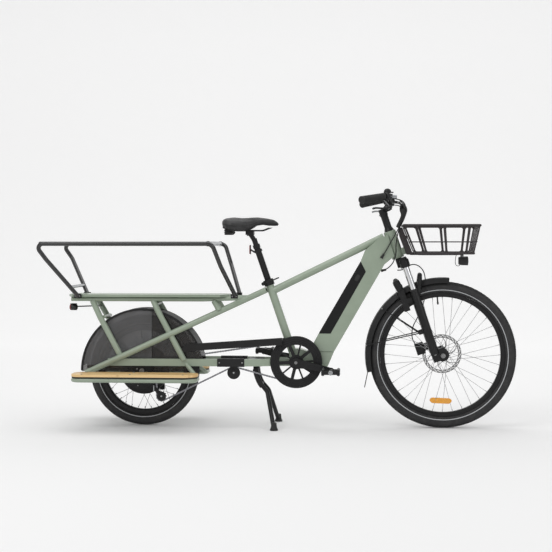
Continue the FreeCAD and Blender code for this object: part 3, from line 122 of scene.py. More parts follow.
class Finish:
    """A material whose colour, roughness and relief come from its nodes."""

    def __init__(self, name, colour, roughness, metallic=0.0, **sockets):
        self.material = bpy.data.materials.new(name)
        self.material.use_nodes = True
        self.tree = self.material.node_tree
        self.shader = self.tree.nodes["Principled BSDF"]
        self.shader.inputs["Base Color"].default_value = linear(colour)
        self.shader.inputs["Roughness"].default_value = roughness
        self.shader.inputs["Metallic"].default_value = metallic
        for socket, value in sockets.items():
            self.shader.inputs[socket.replace("_", " ")].default_value = value
        self.place = self.node("ShaderNodeTexCoord").outputs["Object"]
        self.relief = None

    def node(self, kind, inputs=None, **settings):
        made = self.tree.nodes.new(kind)
        for setting, value in settings.items():
            setattr(made, setting, value)
        for socket, value in (inputs or {}).items():
            if isinstance(value, bpy.types.NodeSocket):
                self.tree.links.new(value, made.inputs[socket])
            else:
                made.inputs[socket].default_value = value
        return made

    def stretched(self, scale):
        return self.node("ShaderNodeMapping", {"Vector": self.place, "Scale": scale}).outputs[0]

    def noise(self, scale, detail=3.0, place=None):
        inputs = {"Vector": place or self.place, "Scale": scale, "Detail": detail}
        return self.node("ShaderNodeTexNoise", inputs).outputs[0]

    def cells(self, scale):
        inputs = {"Vector": self.place, "Scale": scale}
        return self.node("ShaderNodeTexVoronoi", inputs).outputs["Distance"]

    def maths(self, operation, first, second=0.0):
        return self.node("ShaderNodeMath", {0: first, 1: second}, operation=operation).outputs[0]

    def spread(self, value, low, high, out_low, out_high):
        inputs = {"Value": value, "From Min": low, "From Max": high}
        inputs |= {"To Min": out_low, "To Max": out_high}
        return self.node("ShaderNodeMapRange", inputs).outputs[0]

    def ramp(self, factor, stops):
        made = self.node("ShaderNodeValToRGB", {0: factor})
        elements = made.color_ramp.elements
        while len(elements) < len(stops):
            elements.new(0.5)
        for element, (position, colour) in zip(elements, stops):
            element.position = position
            element.color = linear(colour)
        return made.outputs[0]

    def mix(self, factor, first, second):
        made = self.node("ShaderNodeMix", {0: factor}, data_type="RGBA")
        for socket, value in ((made.inputs[6], first), (made.inputs[7], second)):
            if isinstance(value, str):
                socket.default_value = linear(value)
            else:
                self.tree.links.new(value, socket)
        return made.outputs[2]

    def colour(self, value):
        self.tree.links.new(value, self.shader.inputs["Base Color"])
        return self

    def rough(self, factor, low, high):
        """Roughness from low to high as the factor goes through its middle."""
        value = self.spread(factor, 0.3, 0.7, low, high)
        self.tree.links.new(value, self.shader.inputs["Roughness"])
        return self

    def bump(self, height, depth):
        """Relief of a depth in millimetres, on top of any that is there."""
        inputs = {"Height": height, "Distance": depth * MM, "Strength": 1.0}
        if self.relief:
            inputs["Normal"] = self.relief
        self.relief = self.node("ShaderNodeBump", inputs).outputs[0]
        self.tree.links.new(self.relief, self.shader.inputs["Normal"])
        return self


def coated(name, dark, light, roughness, grain_scale, grain_depth, **sockets):
    """A powder coat or moulded surface: soft patches of tone and a fine grain."""
    made = Finish(name, dark, roughness, 0.0, **sockets)
    patches = made.noise(22, 5.0)
    made.colour(made.mix(patches, dark, light))
    made.rough(made.noise(60, 4.0), roughness - 0.07, roughness + 0.08)
    made.bump(made.noise(grain_scale, 2.0), grain_depth)
    return made


def worn_metal(name, dark, light, roughness, metallic, grain):
    """Metal with fine drawn lines, and paler scuffs where it has been touched."""
    made = Finish(name, dark, roughness, metallic)
    lines = made.noise(500, 3.0, made.stretched(grain))
    scuffs = made.spread(made.noise(140, 6.0), 0.58, 0.72, 0.0, 1.0)
    made.colour(made.mix(scuffs, dark, light))
    made.rough(made.noise(90, 5.0), roughness - 0.06, roughness + 0.1)
    made.bump(lines, 0.02)
    return made


def painted_green():
    made = Finish("frame_paint", "#8f9c8a", 0.36, 0.0, Coat_Weight=0.35, Coat_Roughness=0.18)
    made.colour(made.ramp(made.noise(9, 4.0), [(0.3, "#8b9886"), (0.7, "#96a391")]))
    made.rough(made.noise(45, 5.0), 0.3, 0.44)
    made.bump(made.noise(420, 2.0), 0.02)
    made.bump(made.noise(60, 1.0), 0.05)
    return made


def laminated_bamboo():
    """Strips side by side along X, each with its own tone, fibres and knuckles."""
    made = Finish("bamboo", "#e2bf86", 0.42, Coat_Weight=0.15, Coat_Roughness=0.3)
    parts = made.node("ShaderNodeSeparateXYZ", {0: made.place})
    strip = made.maths("FLOOR", made.maths("MULTIPLY", parts.outputs["Y"], 52.0))
    ply = made.maths("FLOOR", made.maths("MULTIPLY", parts.outputs["Z"], 260.0))
    stagger = made.node("ShaderNodeTexWhiteNoise", {"W": strip}, noise_dimensions="1D").outputs[0]
    along = made.maths("MULTIPLY", parts.outputs["X"], 3.1)
    length = made.maths("ADD", along, made.maths("MULTIPLY", stagger, 3.0))
    cell = made.node("ShaderNodeCombineXYZ", {0: strip, 1: ply, 2: made.maths("FLOOR", length)})
    cell_noise = made.node("ShaderNodeTexWhiteNoise", {0: cell.outputs[0]}, noise_dimensions="3D")
    fibres = made.noise(1.0, 5.0, made.stretched((9, 900, 500)))
    knuckle = made.spread(made.maths("FRACT", length), 0.0, 0.05, 1.0, 0.0)
    tone = made.maths("MULTIPLY", cell_noise.outputs[0], 0.55)
    grain = made.maths("ADD", tone, made.maths("MULTIPLY", fibres, 0.45))
    wood = made.ramp(grain, [(0.15, "#c79c5e"), (0.5, "#dfba80"), (0.85, "#eed09c")])
    made.colour(made.mix(made.maths("MULTIPLY", knuckle, 0.35), wood, "#8d6233"))
    made.rough(fibres, 0.36, 0.52)
    made.bump(fibres, 0.05)
    return made


def tyre_rubber():
    made = Finish("tyre_rubber", "#262626", 0.72)
    dust = made.spread(made.noise(30, 6.0), 0.45, 0.75, 0.0, 0.55)
    made.colour(made.mix(dust, "#242425", "#3b3a38"))
    made.rough(made.noise(80, 4.0), 0.62, 0.82)
    made.bump(made.noise(700, 3.0), 0.05)
    return made


def smoked_panel():
    """See-through dark plastic, with painted light: paler behind the seam that divides each panel, where the
    background shows through, and painted shade ahead of the seam and below the stay, where another layer lies
    behind it.
    """
    made = Finish("smoked_panel", "#3a3a3a", 0.3, Alpha=0.62)
    parts = made.node("ShaderNodeSeparateXYZ", {0: made.place})
    ahead_of_seam = made.maths("GREATER_THAN", parts.outputs["X"], (SKIRT_SEAM - DATUM_X) * MM)
    # painted light and shade: the pale tone stands for the background seen through the panel, the dark tone,
    # ahead of the seam and below the stay, for the layer behind it
    lit_through_tone = made.ramp(made.noise(14, 4.0), [(0.35, "#5a5a5b"), (0.65, "#626264")])
    dark = made.ramp(made.noise(14, 4.0), [(0.35, "#2c2a29"), (0.65, "#34312f")])
    painted_through_light = made.node("ShaderNodeMix", {0: ahead_of_seam}, data_type="RGBA")
    made.tree.links.new(lit_through_tone, painted_through_light.inputs[6])
    made.tree.links.new(dark, painted_through_light.inputs[7])
    below_stay = made.maths("LESS_THAN", parts.outputs["Z"], 284 * MM)
    made.tree.links.new(made.maths("MAXIMUM", ahead_of_seam, below_stay), painted_through_light.inputs[0])
    made.colour(painted_through_light.outputs[2])
    made.rough(made.noise(50, 5.0), 0.24, 0.4)
    made.bump(made.noise(9, 2.0), 0.3)
    return made


def saddle_vinyl():
    made = Finish("saddle_cover", "#1d1d1e", 0.42, Sheen_Weight=0.08)
    made.colour(made.mix(made.noise(25, 4.0), "#19191a", "#2a2a2b"))
    made.rough(made.noise(60, 4.0), 0.34, 0.5)
    made.bump(made.cells(850), 0.09)
    made.bump(made.noise(1400, 2.0), 0.03)
    return made


def lens(name, colour, clear=0.35):
    """A moulded lens with a prismatic back, seen as a fine checker of facets."""
    made = Finish(name, colour, 0.1, Coat_Weight=0.8, Coat_Roughness=0.05, Transmission_Weight=clear)
    facets = made.cells(240)
    shade = made.spread(facets, 0.0, 0.7, 0.7, 1.1)
    tint = made.node("ShaderNodeCombineColor", {0: shade, 1: shade, 2: shade}).outputs[0]
    multiplied = made.node("ShaderNodeMix", {0: 1.0}, data_type="RGBA", blend_type="MULTIPLY")
    multiplied.inputs[6].default_value = linear(colour)
    made.tree.links.new(tint, multiplied.inputs[7])
    made.colour(multiplied.outputs[2])
    made.bump(facets, 0.25)
    return made


COATED = {
    # dark, light, roughness, grain scale, grain depth in mm, other sockets
    "black_tube": ("#121213", "#1c1c1d", 0.24, 900, 0.02, {"Coat_Weight": 0.5, "Coat_Roughness": 0.1}),
    "black_plastic": ("#111112", "#1b1b1c", 0.52, 1200, 0.05, {"Specular_IOR_Level": 0.35}),
    "lamp_plastic": ("#0d0d0e", "#161617", 0.3, 1500, 0.01, {}),
    "basket_black": ("#231e1f", "#322c2d", 0.48, 800, 0.05, {}),
    "grip_rubber": ("#1a1a1a", "#262626", 0.66, 1300, 0.08, {}),
    "cable_rubber": ("#121212", "#1c1c1c", 0.38, 1500, 0.02, {}),
    "battery_case": ("#08090a", "#0f1011", 0.48, 1500, 0.03, {"Specular_IOR_Level": 0.3}),
    "reflective_band": ("#a8aaac", "#bfc1c3", 0.4, 1500, 0.02, {}),
    "dull_black": ("#101011", "#1a1a1b", 0.55, 1100, 0.04, {}),
    "screen": ("#0d1013", "#14181c", 0.12, 1500, 0.005, {}),
}
METALS = {
    # dark, light, roughness, metallic, stretch of the drawn lines
    "chain_steel": ("#86868a", "#adadb0", 0.36, 1.0, (1, 1, 1)),
    "black_alloy": ("#101011", "#1d1d1f", 0.38, 0.3, (1, 1, 1)),
    "axle_steel": ("#8c8c8c", "#b9b9b9", 0.32, 1.0, (1, 1, 1)),
    "chrome_tube": ("#d9dadc", "#eceded", 0.12, 1.0, (1, 1, 0.05)),
    "spoke_steel": ("#a9a9aa", "#cfcfcf", 0.3, 1.0, (1, 1, 1)),
    "silver_alloy": ("#a4a6a8", "#d2d3d4", 0.28, 1.0, (1, 1, 1)),
}
FINISHES = {
    "frame_paint": painted_green(),
    "bamboo": laminated_bamboo(),
    "smoked_panel": smoked_panel(),
    "tyre_rubber": tyre_rubber(),
    "saddle_cover": saddle_vinyl(),
    "amber_lens": lens("amber_lens", "#f0a41c", 0.1),
    "red_lens": lens("red_lens", "#8e0f14"),
    "clear_lens": lens("clear_lens", "#d5dade", 0.6),
}
FINISHES |= {name: coated(name, *row[:5], **row[5]) for name, row in COATED.items()}
FINISHES |= {name: worn_metal(name, *row) for name, row in METALS.items()}


# ---------------------------------------------------------------- mesh building


def square_to(axis):
    """Two directions square to an axis and to each other."""
    axis = axis.normalized()
    first = axis.cross(AHEAD if abs(axis.x) < 0.9 else UP).normalized()
    return first, axis.cross(first)


def circle(centre, axis, radius, steps, corners=0, flat=1.0):
    """A loop of points round an axis; corners makes it a polygon, flat an ellipse."""
    first, second = square_to(axis)
    loop = []
    for index in range(steps):
        turn = 2 * math.pi * index / steps
        reach = radius
        if corners:
            part = 2 * math.pi / corners
            reach = radius * math.cos(part / 2) / math.cos(turn % part - part / 2)
        loop.append(centre + (first * math.cos(turn) + second * math.sin(turn) * flat) * reach)
    return loop


def oval(centre, first, second, steps):
    """A loop of points with these two half axes."""
    turns = [2 * math.pi * step / steps for step in range(steps)]
    return [centre + first * math.cos(turn) + second * math.sin(turn) for turn in turns]


def rounded(outline, radius, steps=5):
    """A flat outline of (a, b) pairs with its corners rounded off."""
    made = []
    for index, corner in enumerate(outline):
        corner = Vector(corner)
        back = Vector(outline[index - 1]) - corner
        ahead = Vector(outline[(index + 1) % len(outline)]) - corner
        reach = min(radius, 0.48 * back.length, 0.48 * ahead.length)
        first = corner + back.normalized() * reach
        last = corner + ahead.normalized() * reach
        for step in range(steps + 1):
            t = step / steps
            made.append(first * (1 - t) ** 2 + corner * 2 * t * (1 - t) + last * t * t)
    return made


def smooth_line(points, per_span):
    """A smooth line through the points."""
    points = [Vector(p) for p in points]
    padded = [points[0] * 2 - points[1], *points, points[-1] * 2 - points[-2]]
    line = []
    for a, b, c, d in zip(padded, padded[1:], padded[2:], padded[3:]):
        for step in range(per_span):
            t = step / per_span
            line.append(
                b
                + (c - a) * (t / 2)
                + (a * 2 - b * 5 + c * 4 - d) * (t * t / 2)
                + (b * 3 - a - c * 3 + d) * (t**3 / 2)
            )
    return line + [points[-1]]


class Shape:
    """The points and faces of one piece."""

    def __init__(self):
        self.points = []
        self.faces = []

    def loft(self, rings, wrap=False):
        """Joins rings of equally many points."""
        base, count, rows = len(self.points), len(rings[0]), len(rings)
        for ring in rings:
            self.points.extend(ring)
        for row in range(rows if wrap else rows - 1):
            low, high = base + row * count, base + (row + 1) % rows * count
            for i in range(count):
                j = (i + 1) % count
                self.faces.append((low + i, low + j, high + j, high + i))
        if not wrap:
            self.faces.append(tuple(base + i for i in reversed(range(count))))
            self.faces.append(tuple(base + (rows - 1) * count + i for i in range(count)))
        return self

    def spin(self, start, axis, stations, steps):
        """A solid turned about an axis, from (distance, radius) stations."""
        axis = axis.normalized()
        return self.loft([circle(start + axis * d, axis, r, steps) for d, r in stations])

    def rod(self, start, end, radius, end_radius=None, steps=16):
        """A round bar, tapered where it has a second radius."""
        length = (end - start).length
        last = radius if end_radius is None else end_radius
        return self.spin(start, end - start, [(0, radius), (length, last)], steps)

    def hoop(self, centre, profile, steps, start=0.0, sweep=360.0):
        """A ring about a sideways axle, from a closed profile of (radius, side) pairs."""
        whole = sweep == 360.0
        count = steps if whole else steps + 1
        rings = []
        for index in range(count):
            turn = start + sweep * index / steps
            rings.append([around(centre, r, turn, centre.y + s) for r, s in profile])
        return self.loft(rings, wrap=whole)

    def collar(self, start, end, outer, inner):
        """A short sleeve with a hole through it and eased edges."""
        axis = end - start
        length = axis.length
        ease = min(1.0, (outer - inner) / 3, length / 4)
        stations = [(0, inner), (0, outer - ease), (ease, outer)]
        stations += [(length - ease, outer), (length, outer - ease), (length, inner)]
        rings = [circle(start + axis * (d / length), axis, r, 36) for d, r in stations]
        return self.loft(rings, wrap=True)

    def tube(self, line, radius, steps, flat=1.0, lead=None):
        """A bar along a line; radius may be one number or one for each point."""
        rings = []
        first = None
        for index, point in enumerate(line):
            ahead = line[min(index + 1, len(line) - 1)] - line[max(index - 1, 0)]
            ahead.normalize()
            if first is None:
                first = lead or square_to(ahead)[0]
            first = (first - ahead * first.dot(ahead)).normalized()
            second = ahead.cross(first)
            reach = radius[index] if isinstance(radius, list) else radius
            rings.append(oval(point, first * reach, second * (reach * flat), steps))
        return self.loft(rings)

    def loop_tube(self, line, radius, steps):
        """A bar along a closed line."""
        rings = []
        for index, point in enumerate(line):
            ahead = (line[(index + 1) % len(line)] - line[index - 1]).normalized()
            first = ahead.cross(UP).normalized()
            rings.append(oval(point, first * radius, ahead.cross(first) * radius, steps))
        return self.loft(rings, wrap=True)

    def prism(self, outline, origin, first, second, depth):
        """A flat outline of (a, b) pairs along first and second, thickened by depth."""
        low = [origin + first * p[0] + second * p[1] for p in outline]
        return self.loft([low, [p + depth for p in low]])

    def box(self, low, high, origin, axes=(AHEAD, LEFT, UP)):
        """A block between two corners, given from the origin along the axes."""
        corners = [(low[0], low[1]), (high[0], low[1]), (high[0], high[1]), (low[0], high[1])]
        base = origin + axes[2] * low[2]
        return self.prism(corners, base, axes[0], axes[1], axes[2] * (high[2] - low[2]))

    def bolt(self, place, direction, radius, height):
        """A socket-head screw."""
        direction = direction.normalized()
        steps = 24
        top = place + direction * height
        rings = [
            circle(place, direction, radius, steps),
            circle(place + direction * (height - 0.6), direction, radius, steps),
            circle(top, direction, radius - 0.6, steps),
            circle(top, direction, radius * 0.52, steps, 6),
            circle(top - direction * height * 0.6, direction, radius * 0.5, steps, 6),
        ]
        return self.loft(rings)

    def nut(self, place, direction, radius, height):
        """A six-sided nut with a chamfer and a threaded end in it."""
        direction = direction.normalized()
        stations = [(0, radius, 6), (height - 0.8, radius, 6), (height, radius * 0.88, 0)]
        stations += [(height, radius * 0.5, 0), (height - 1, radius * 0.45, 0)]
        rings = [circle(place + direction * d, direction, r, 24, c) for d, r, c in stations]
        return self.loft(rings)


def piece(name, shape, finish, body=None, stands_for=(), bevel=0.0, sharp=40):
    """Makes a shape into an object that moves with a body."""
    mesh = bpy.data.meshes.new(name)
    mesh.from_pydata([p * MM for p in shape.points], [], shape.faces)
    work = bmesh.new()
    work.from_mesh(mesh)
    bmesh.ops.remove_doubles(work, verts=work.verts, dist=1e-7)
    bmesh.ops.recalc_face_normals(work, faces=work.faces)
    work.to_mesh(mesh)
    work.free()
    mesh.materials.append(FINISHES[finish].material)
    obj = bpy.data.objects.new(name, mesh)
    bpy.context.scene.collection.objects.link(obj)
    shade(obj, sharp)
    if bevel:
        ease(obj, bevel, 35)
    if body:
        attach(obj, body)
    if stands_for:
        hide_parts(*stands_for)
    return obj


def ease(obj, width, angle):
    """A small round, its width in mm, along the edges sharper than the angle."""
    edges = obj.modifiers.new("edges", "BEVEL")
    edges.width = width * MM
    edges.segments = 2
    edges.limit_method = "ANGLE"
    edges.angle_limit = math.radians(angle)
    edges.harden_normals = True


def shade(obj, sharp):
    """Smooth shading, broken at edges sharper than the angle."""
    obj.data.shade_smooth()
    obj.data.set_sharp_from_angle(angle=math.radians(sharp))


# ---------------------------------------------------------------- wheels

FRONT = {"body": "front_wheel", "name": "front", "axle": FRONT_AXLE, "radius": 337, "section": 28.5,
         "rim": 286, "inner": 265, "stripe": 298}
REAR = {"body": "rear_wheel", "name": "rear", "axle": REAR_AXLE, "radius": 258, "section": 26,
        "rim": 209, "inner": 184, "stripe": 218.5}
SPOKES = 36
TREAD_PITCH = 23
# turn on the section, half width, half length and shift round the wheel, in degrees and pitches
TREAD_ROWS = [(0, 8.5, 0.34, 0), (-19, 7, 0.32, 0.5), (19, 7, 0.32, 0.5), (-38, 7.5, 0.36, 0.1),
              (38, 7.5, 0.36, 0.6)]
TREAD_BLOCK = [(-1, -1), (-0.3, -1.25), (0.3, -1.25), (1, -1), (1, 1), (0.3, 0.75), (-0.3, 0.75), (-1, 1)]


def section_place(wheel, turn, reach):
    """(radius, side) on the tyre's round section; turn 0 is the crown of the tread, in degrees."""
    middle = wheel["radius"] - wheel["section"]
    return middle + reach * math.cos(math.radians(turn)), reach * math.sin(math.radians(turn))


def tyre(wheel):
    """Casing with ribbed side walls, and five rows of tread blocks standing on it."""
    section = wheel["section"]
    middle = wheel["radius"] - section
    last = math.degrees(math.acos((wheel["rim"] - middle) / section))
    profile = []
    for index in range(49):
        turn = -last + 2 * last * index / 48
        reach = section - 1.9 if abs(turn) < 52 else section - 0.3
        if 78 < abs(turn) < 84 or 117 < abs(turn) < 122:
            reach -= 0.8
        profile.append(section_place(wheel, turn, reach))
    casing = Shape().hoop(wheel["axle"], profile, 144)
    name = wheel["name"]
    piece(f"{name}_tyre_casing", casing, "tyre_rubber", wheel["body"], stands_for=[f"{name}_tyre"])

    blocks = Shape()
    count = round(wheel["radius"] * 2 * math.pi / TREAD_PITCH)
    pitch = 360 / count
    for index in range(count):
        for turn, half_width, half_length, shift in TREAD_ROWS:
            slant = 0.09 * (1 if turn >= 0 else -1) if turn else 0
            rings = []
            for reach in (section - 2.6, section - 0.1):
                inset = 0.92 if reach > section - 1 else 1.0
                ring = []
                for across, along in TREAD_BLOCK:
                    r, s = section_place(wheel, turn + across * half_width * inset, reach)
                    place = (index + shift + along * half_length * inset + slant * across) * pitch
                    ring.append(around(wheel["axle"], r, place, s))
                rings.append(ring)
            blocks.loft(rings)
    piece(f"{name}_tread", blocks, "tyre_rubber", wheel["body"], sharp=30)

    stripes = Shape()
    offset = wheel["stripe"] - middle
    for side in (-1, 1):
        low = math.degrees(math.acos((offset - 1.6) / section))
        high = math.degrees(math.acos((offset + 1.6) / section))
        band = []
        for turn, proud in ((low, -0.6), (low, 0.1), (high, 0.1), (high, -0.6)):
            r, s = section_place(wheel, turn, section + proud)
            band.append((r, side * s))
        stripes.hoop(wheel["axle"], band, 144)
    piece(f"{name}_tyre_stripe", stripes, "reflective_band", wheel["body"])


def spoke_side(index):
    """How far from the middle a spoke meets the rim."""
    side = 1 if index % 2 else -1
    return side * (3.6 if (index // 2) % 2 else 1.2)


def wheel_fittings(wheel):
    """The nipples and the valve."""
    name, axle, inner = wheel["name"], wheel["axle"], wheel["inner"]
    nipples = Shape()
    for index in range(SPOKES):
        turn = index * 360 / SPOKES
        seat = around(axle, inner + 1, turn, spoke_side(index))
        end = around(axle, inner - 11, turn, spoke_side(index) * 1.35)
        nipples.spin(seat, end - seat, [(0, 2.6), (2.2, 2.6), (3, 1.9), (11, 1.7), (12, 1.2)], 10)
    piece(f"{name}_nipples", nipples, "spoke_steel", wheel["body"])
    seat = around(axle, inner + 2, 5 + 360 / SPOKES * 9)
    stem_and_cap = [(0, 6), (1.5, 6), (2, 3.6), (24, 3.4), (24.5, 4.4), (34, 4.2), (36, 2.5)]
    valve = Shape().spin(seat, around(axle, 0, 0) - seat, stem_and_cap, 20)
    piece(f"{name}_valve", valve, "grip_rubber", wheel["body"])


def brake_disc(name, wheel, radius, low_side, hole):
    """A brake track with rows of cooling slots, on curved arms."""
    steps = 144
    track = Shape()
    rows = [radius - 15 + 3 * row for row in range(6)]
    for r in rows:
        track.points += [around(wheel["axle"], r, 360 * i / steps, low_side) for i in range(steps)]
    slotted = {1: (0, 1), 2: (2, 3), 3: (4, 5)}
    for row in range(len(rows) - 1):
        low, high = row * steps, (row + 1) * steps
        for i in range(steps):
            if i % 6 not in slotted.get(row, ()):
                j = (i + 1) % steps
                track.faces.append((low + i, low + j, high + j, high + i))
    made = piece(f"{name}_brake_track", track, "axle_steel", wheel["body"])
    thick = made.modifiers.new("plate", "SOLIDIFY")
    thick.thickness = 1.8 * MM
    thick.offset = 0
    arms = Shape()
    for index in range(6):
        line = []
        for step in range(9):
            t = step / 8
            line.append((hole + 6 + (radius - 20 - hole) * t, index * 60 + 30 * t * t))
        edge = []
        for sign, way in ((1, line), (-1, line[::-1])):
            for r, turn in way:
                half = (5.5 - 0.045 * (r - 20)) * 28 / r
                edge.append(around(wheel["axle"], r, turn + sign * half, low_side - 0.9))
        arms.loft([edge, [p + LEFT * 1.8 for p in edge]])
    seat = [(hole, -1), (hole + 11, -1), (hole + 11, 1), (hole, 1)]
    arms.hoop(wheel["axle"] + LEFT * low_side, seat, 72)
    piece(f"{name}_disc_arms", arms, "black_alloy", wheel["body"], bevel=0.3)


def front_hub():
    """The flanged shell, its brake disc and the disc's screws."""
    drive_side = [(6.3, -48), (12, -48), (12, -33), (28, -31.5), (30, -30), (30, -25), (28, -23.5),
                  (16, -20), (13.5, -14)]
    disc_side = [(13.5, 14), (16, 20), (28, 23.5), (30, 25), (30, 30), (28, 31.5), (17, 34), (17, 39.5),
                 (12, 41), (12, 48), (6.3, 48)]
    shell = Shape().hoop(FRONT_AXLE, drive_side + disc_side, 72)
    piece("front_hub_shell", shell, "black_alloy", "front_wheel", stands_for=["front_hub"], bevel=0.4)
    brake_disc("front", FRONT, 90, 41.5, 13)
    screws = Shape()
    for index in range(6):
        screws.bolt(around(FRONT_AXLE, 20, index * 60 + 12, 42.4), LEFT, 2.8, 1.8)
    piece("front_disc_screws", screws, "axle_steel", "front_wheel")


def motor_fittings():
    """Cover screws and raised ribs on the hub motor."""
    screws = Shape()
    for side in (-1, 1):
        for index in range(9):
            screws.bolt(around(REAR_AXLE, 76, index * 40 + 10, side * 41.2), LEFT * side, 3, 2.6)
    piece("motor_screws", screws, "axle_steel", "rear_wheel")
    ribs = Shape()
    for side in (-1, 1):
        for radius in (50, 58):
            section = [(0, 43.5), (3, 43.5), (2.2, 45.2), (0.8, 45.2)]
            ribs.hoop(REAR_AXLE, [(radius + r, side * out) for r, out in section], 96)
    piece("motor_ribs", ribs, "black_alloy", "rear_wheel")


for wheel in (FRONT, REAR):
    tyre(wheel)
    wheel_fittings(wheel)
front_hub()
motor_fittings()

glass = rounded([(-54, 0), (-42, -13), (42, -13), (54, 0), (42, 13), (-42, 13)], 9)
bent = [around(FRONT_AXLE, 215 + b, 267.8 + math.degrees(a / 215), -9.5) for a, b in glass]
reflector = Shape().loft([bent, [p + LEFT * 17 for p in bent]])
piece("wheel_reflector", reflector, "amber_lens", "front_wheel", bevel=1.2)
clips = Shape()
for turn in (257, 279):
    clips.box((-3, -6.5, -5), (3, 6.5, 5), around(FRONT_AXLE, 215, turn), (AHEAD, LEFT, UP))
piece("reflector_clips", clips, "black_plastic", "front_wheel", bevel=1)


# ---------------------------------------------------------------- drive


def pitch_radius(teeth):
    """Radius of the chain's pins on a wheel with so many teeth."""
    return CHAIN_PITCH / 2 / math.sin(math.pi / teeth)


# centre, teeth and which way the chain turns
CHAIN_WHEELS = [(BRACKET, 48, 1), (REAR_AXLE, 18, 1), (GUIDE_JOCKEY, 11, -1), (TENSION_JOCKEY, 11, 1),
                (IDLER, 13, -1)]


def chain_line():
    """Close points along the chain's pitch line, all the way round."""
    stations = [(centre, pitch_radius(teeth), turn) for centre, teeth, turn in CHAIN_WHEELS]
    runs = []
    for (a, ra, ta), (b, rb, tb) in zip(stations, stations[1:] + stations[:1]):
        between = b - a
        heading = math.atan2(between.z, between.x) + math.asin((ta * ra - tb * rb) / between.length)
        normal = Vector((math.sin(heading), 0, -math.cos(heading)))
        runs.append((a + normal * ta * ra, b + normal * tb * rb))
    line = []
    for index, (centre, radius, turn) in enumerate(stations):
        arrive, leave = runs[index - 1][1] - centre, runs[index][0] - centre
        begin = math.degrees(math.atan2(arrive.z, arrive.x))
        sweep = (math.degrees(math.atan2(leave.z, leave.x)) - begin) * turn % 360
        steps = max(2, int(sweep / 2))
        line += [around(centre, radius, begin + turn * sweep * i / steps) for i in range(steps)]
        start, end = runs[index]
        steps = int((end - start).length / 4)
        line += [start.lerp(end, i / steps) for i in range(steps)]
    return line


def chain_pins():
    """Places of the chain's pins, one pitch apart as nearly as the loop allows."""
    line = chain_line()
    line.append(line[0])
    lengths = [0.0]
    for a, b in zip(line, line[1:]):
        lengths.append(lengths[-1] + (b - a).length)
    count = 2 * round(lengths[-1] / CHAIN_PITCH / 2)
    pins = []
    index = 0
    for pin in range(count):
        wanted = lengths[-1] * pin / count
        while lengths[index + 1] < wanted:
            index += 1
        share = (wanted - lengths[index]) / (lengths[index + 1] - lengths[index])
        pins.append(line[index].lerp(line[index + 1], share))
    return pins


def link_plate(shape, start, end, low_side, high_side):
    """A waisted plate round two pins."""
    along = (end - start).normalized()
    over = Vector((-along.z, 0, along.x))
    ring = []
    for centre, sign in ((end, 1), (start, -1)):
        for degrees in (-90, -50, -15, 15, 50, 90):
            turn = math.radians(degrees)
            ring.append(centre + (along * math.cos(turn) + over * math.sin(turn)) * (4.1 * sign))
        ring.append((start + end) / 2 + over * (3.0 * sign))
    low = [Vector((p.x, low_side, p.z)) for p in ring]
    shape.loft([low, [p + LEFT * (high_side - low_side) for p in low]])


pins = chain_pins()
outer, inner = Shape(), Shape()
for index, pin in enumerate(pins):
    following = pins[(index + 1) % len(pins)]
    for side in (-1, 1):
        middle = -CHAIN_LINE + side * (3.35 if index % 2 else 2.3)
        link_plate(outer if index % 2 else inner, pin, following, middle - 0.5, middle + 0.5)
    middle = pin - LEFT * CHAIN_LINE
    inner.rod(middle - LEFT * 1.9, middle + LEFT * 1.9, 3.9, steps=10)
    outer.rod(middle - LEFT * 4, middle + LEFT * 4, 1.8, steps=8)
piece("chain_outer_links", outer, "chain_steel", "frame", stands_for=["chain"])
piece("chain_inner_links", inner, "chain_steel", "frame")

ring_details = Shape()
for radius in (86, 95, 104, 113):
    section = [(0, -64), (5, -64), (3.6, -65.3), (1.4, -65.3)]
    ring_details.hoop(BRACKET, [(radius + r, out) for r, out in section], 120)
piece("chainring_ridges", ring_details, "black_plastic", "crankset")
crank_bolts = Shape()
for side in (-1, 1):
    crank_bolts.nut(around(BRACKET, 0, 0, side * 94), LEFT * side, 8, 4)
piece("crank_bolts", crank_bolts, "axle_steel", "crankset")


def pedal_details(side, body):
    """Grip studs, end cap and reflectors of one pedal."""
    eye = around(BRACKET, 165, -12.6 if side < 0 else 167.4)
    studs, glass, cap = Shape(), Shape(), Shape()
    for end in (-1, 1):
        for out in (108, 127, 145, 163, 182):
            for up in (-1, 1):
                foot = Vector((eye.x + end * 35, side * out, eye.z + up * 12.5))
                studs.spin(foot, UP * up, [(0, 2.4), (1, 2.4), (1.2, 1.6), (3.4, 1.4)], 10)
        for out in (122, 168):
            face = Vector((eye.x + end * 40.8, side * out, eye.z))
            glass.box((0 if end > 0 else -2.2, -17, -8.5), (2.2 if end > 0 else 0, 17, 8.5), face)
    cap.spin(eye + LEFT * side * 191, LEFT * side, [(0, 10), (2, 10), (3.4, 7), (3.6, 3)], 28)
    piece(f"{body}_studs", studs, "axle_steel", body)
    piece(f"{body}_reflectors", glass, "clear_lens", body, bevel=0.8)
    piece(f"{body}_cap", cap, "silver_alloy", body)


pedal_details(-1, "pedal_right")
pedal_details(1, "pedal_left")

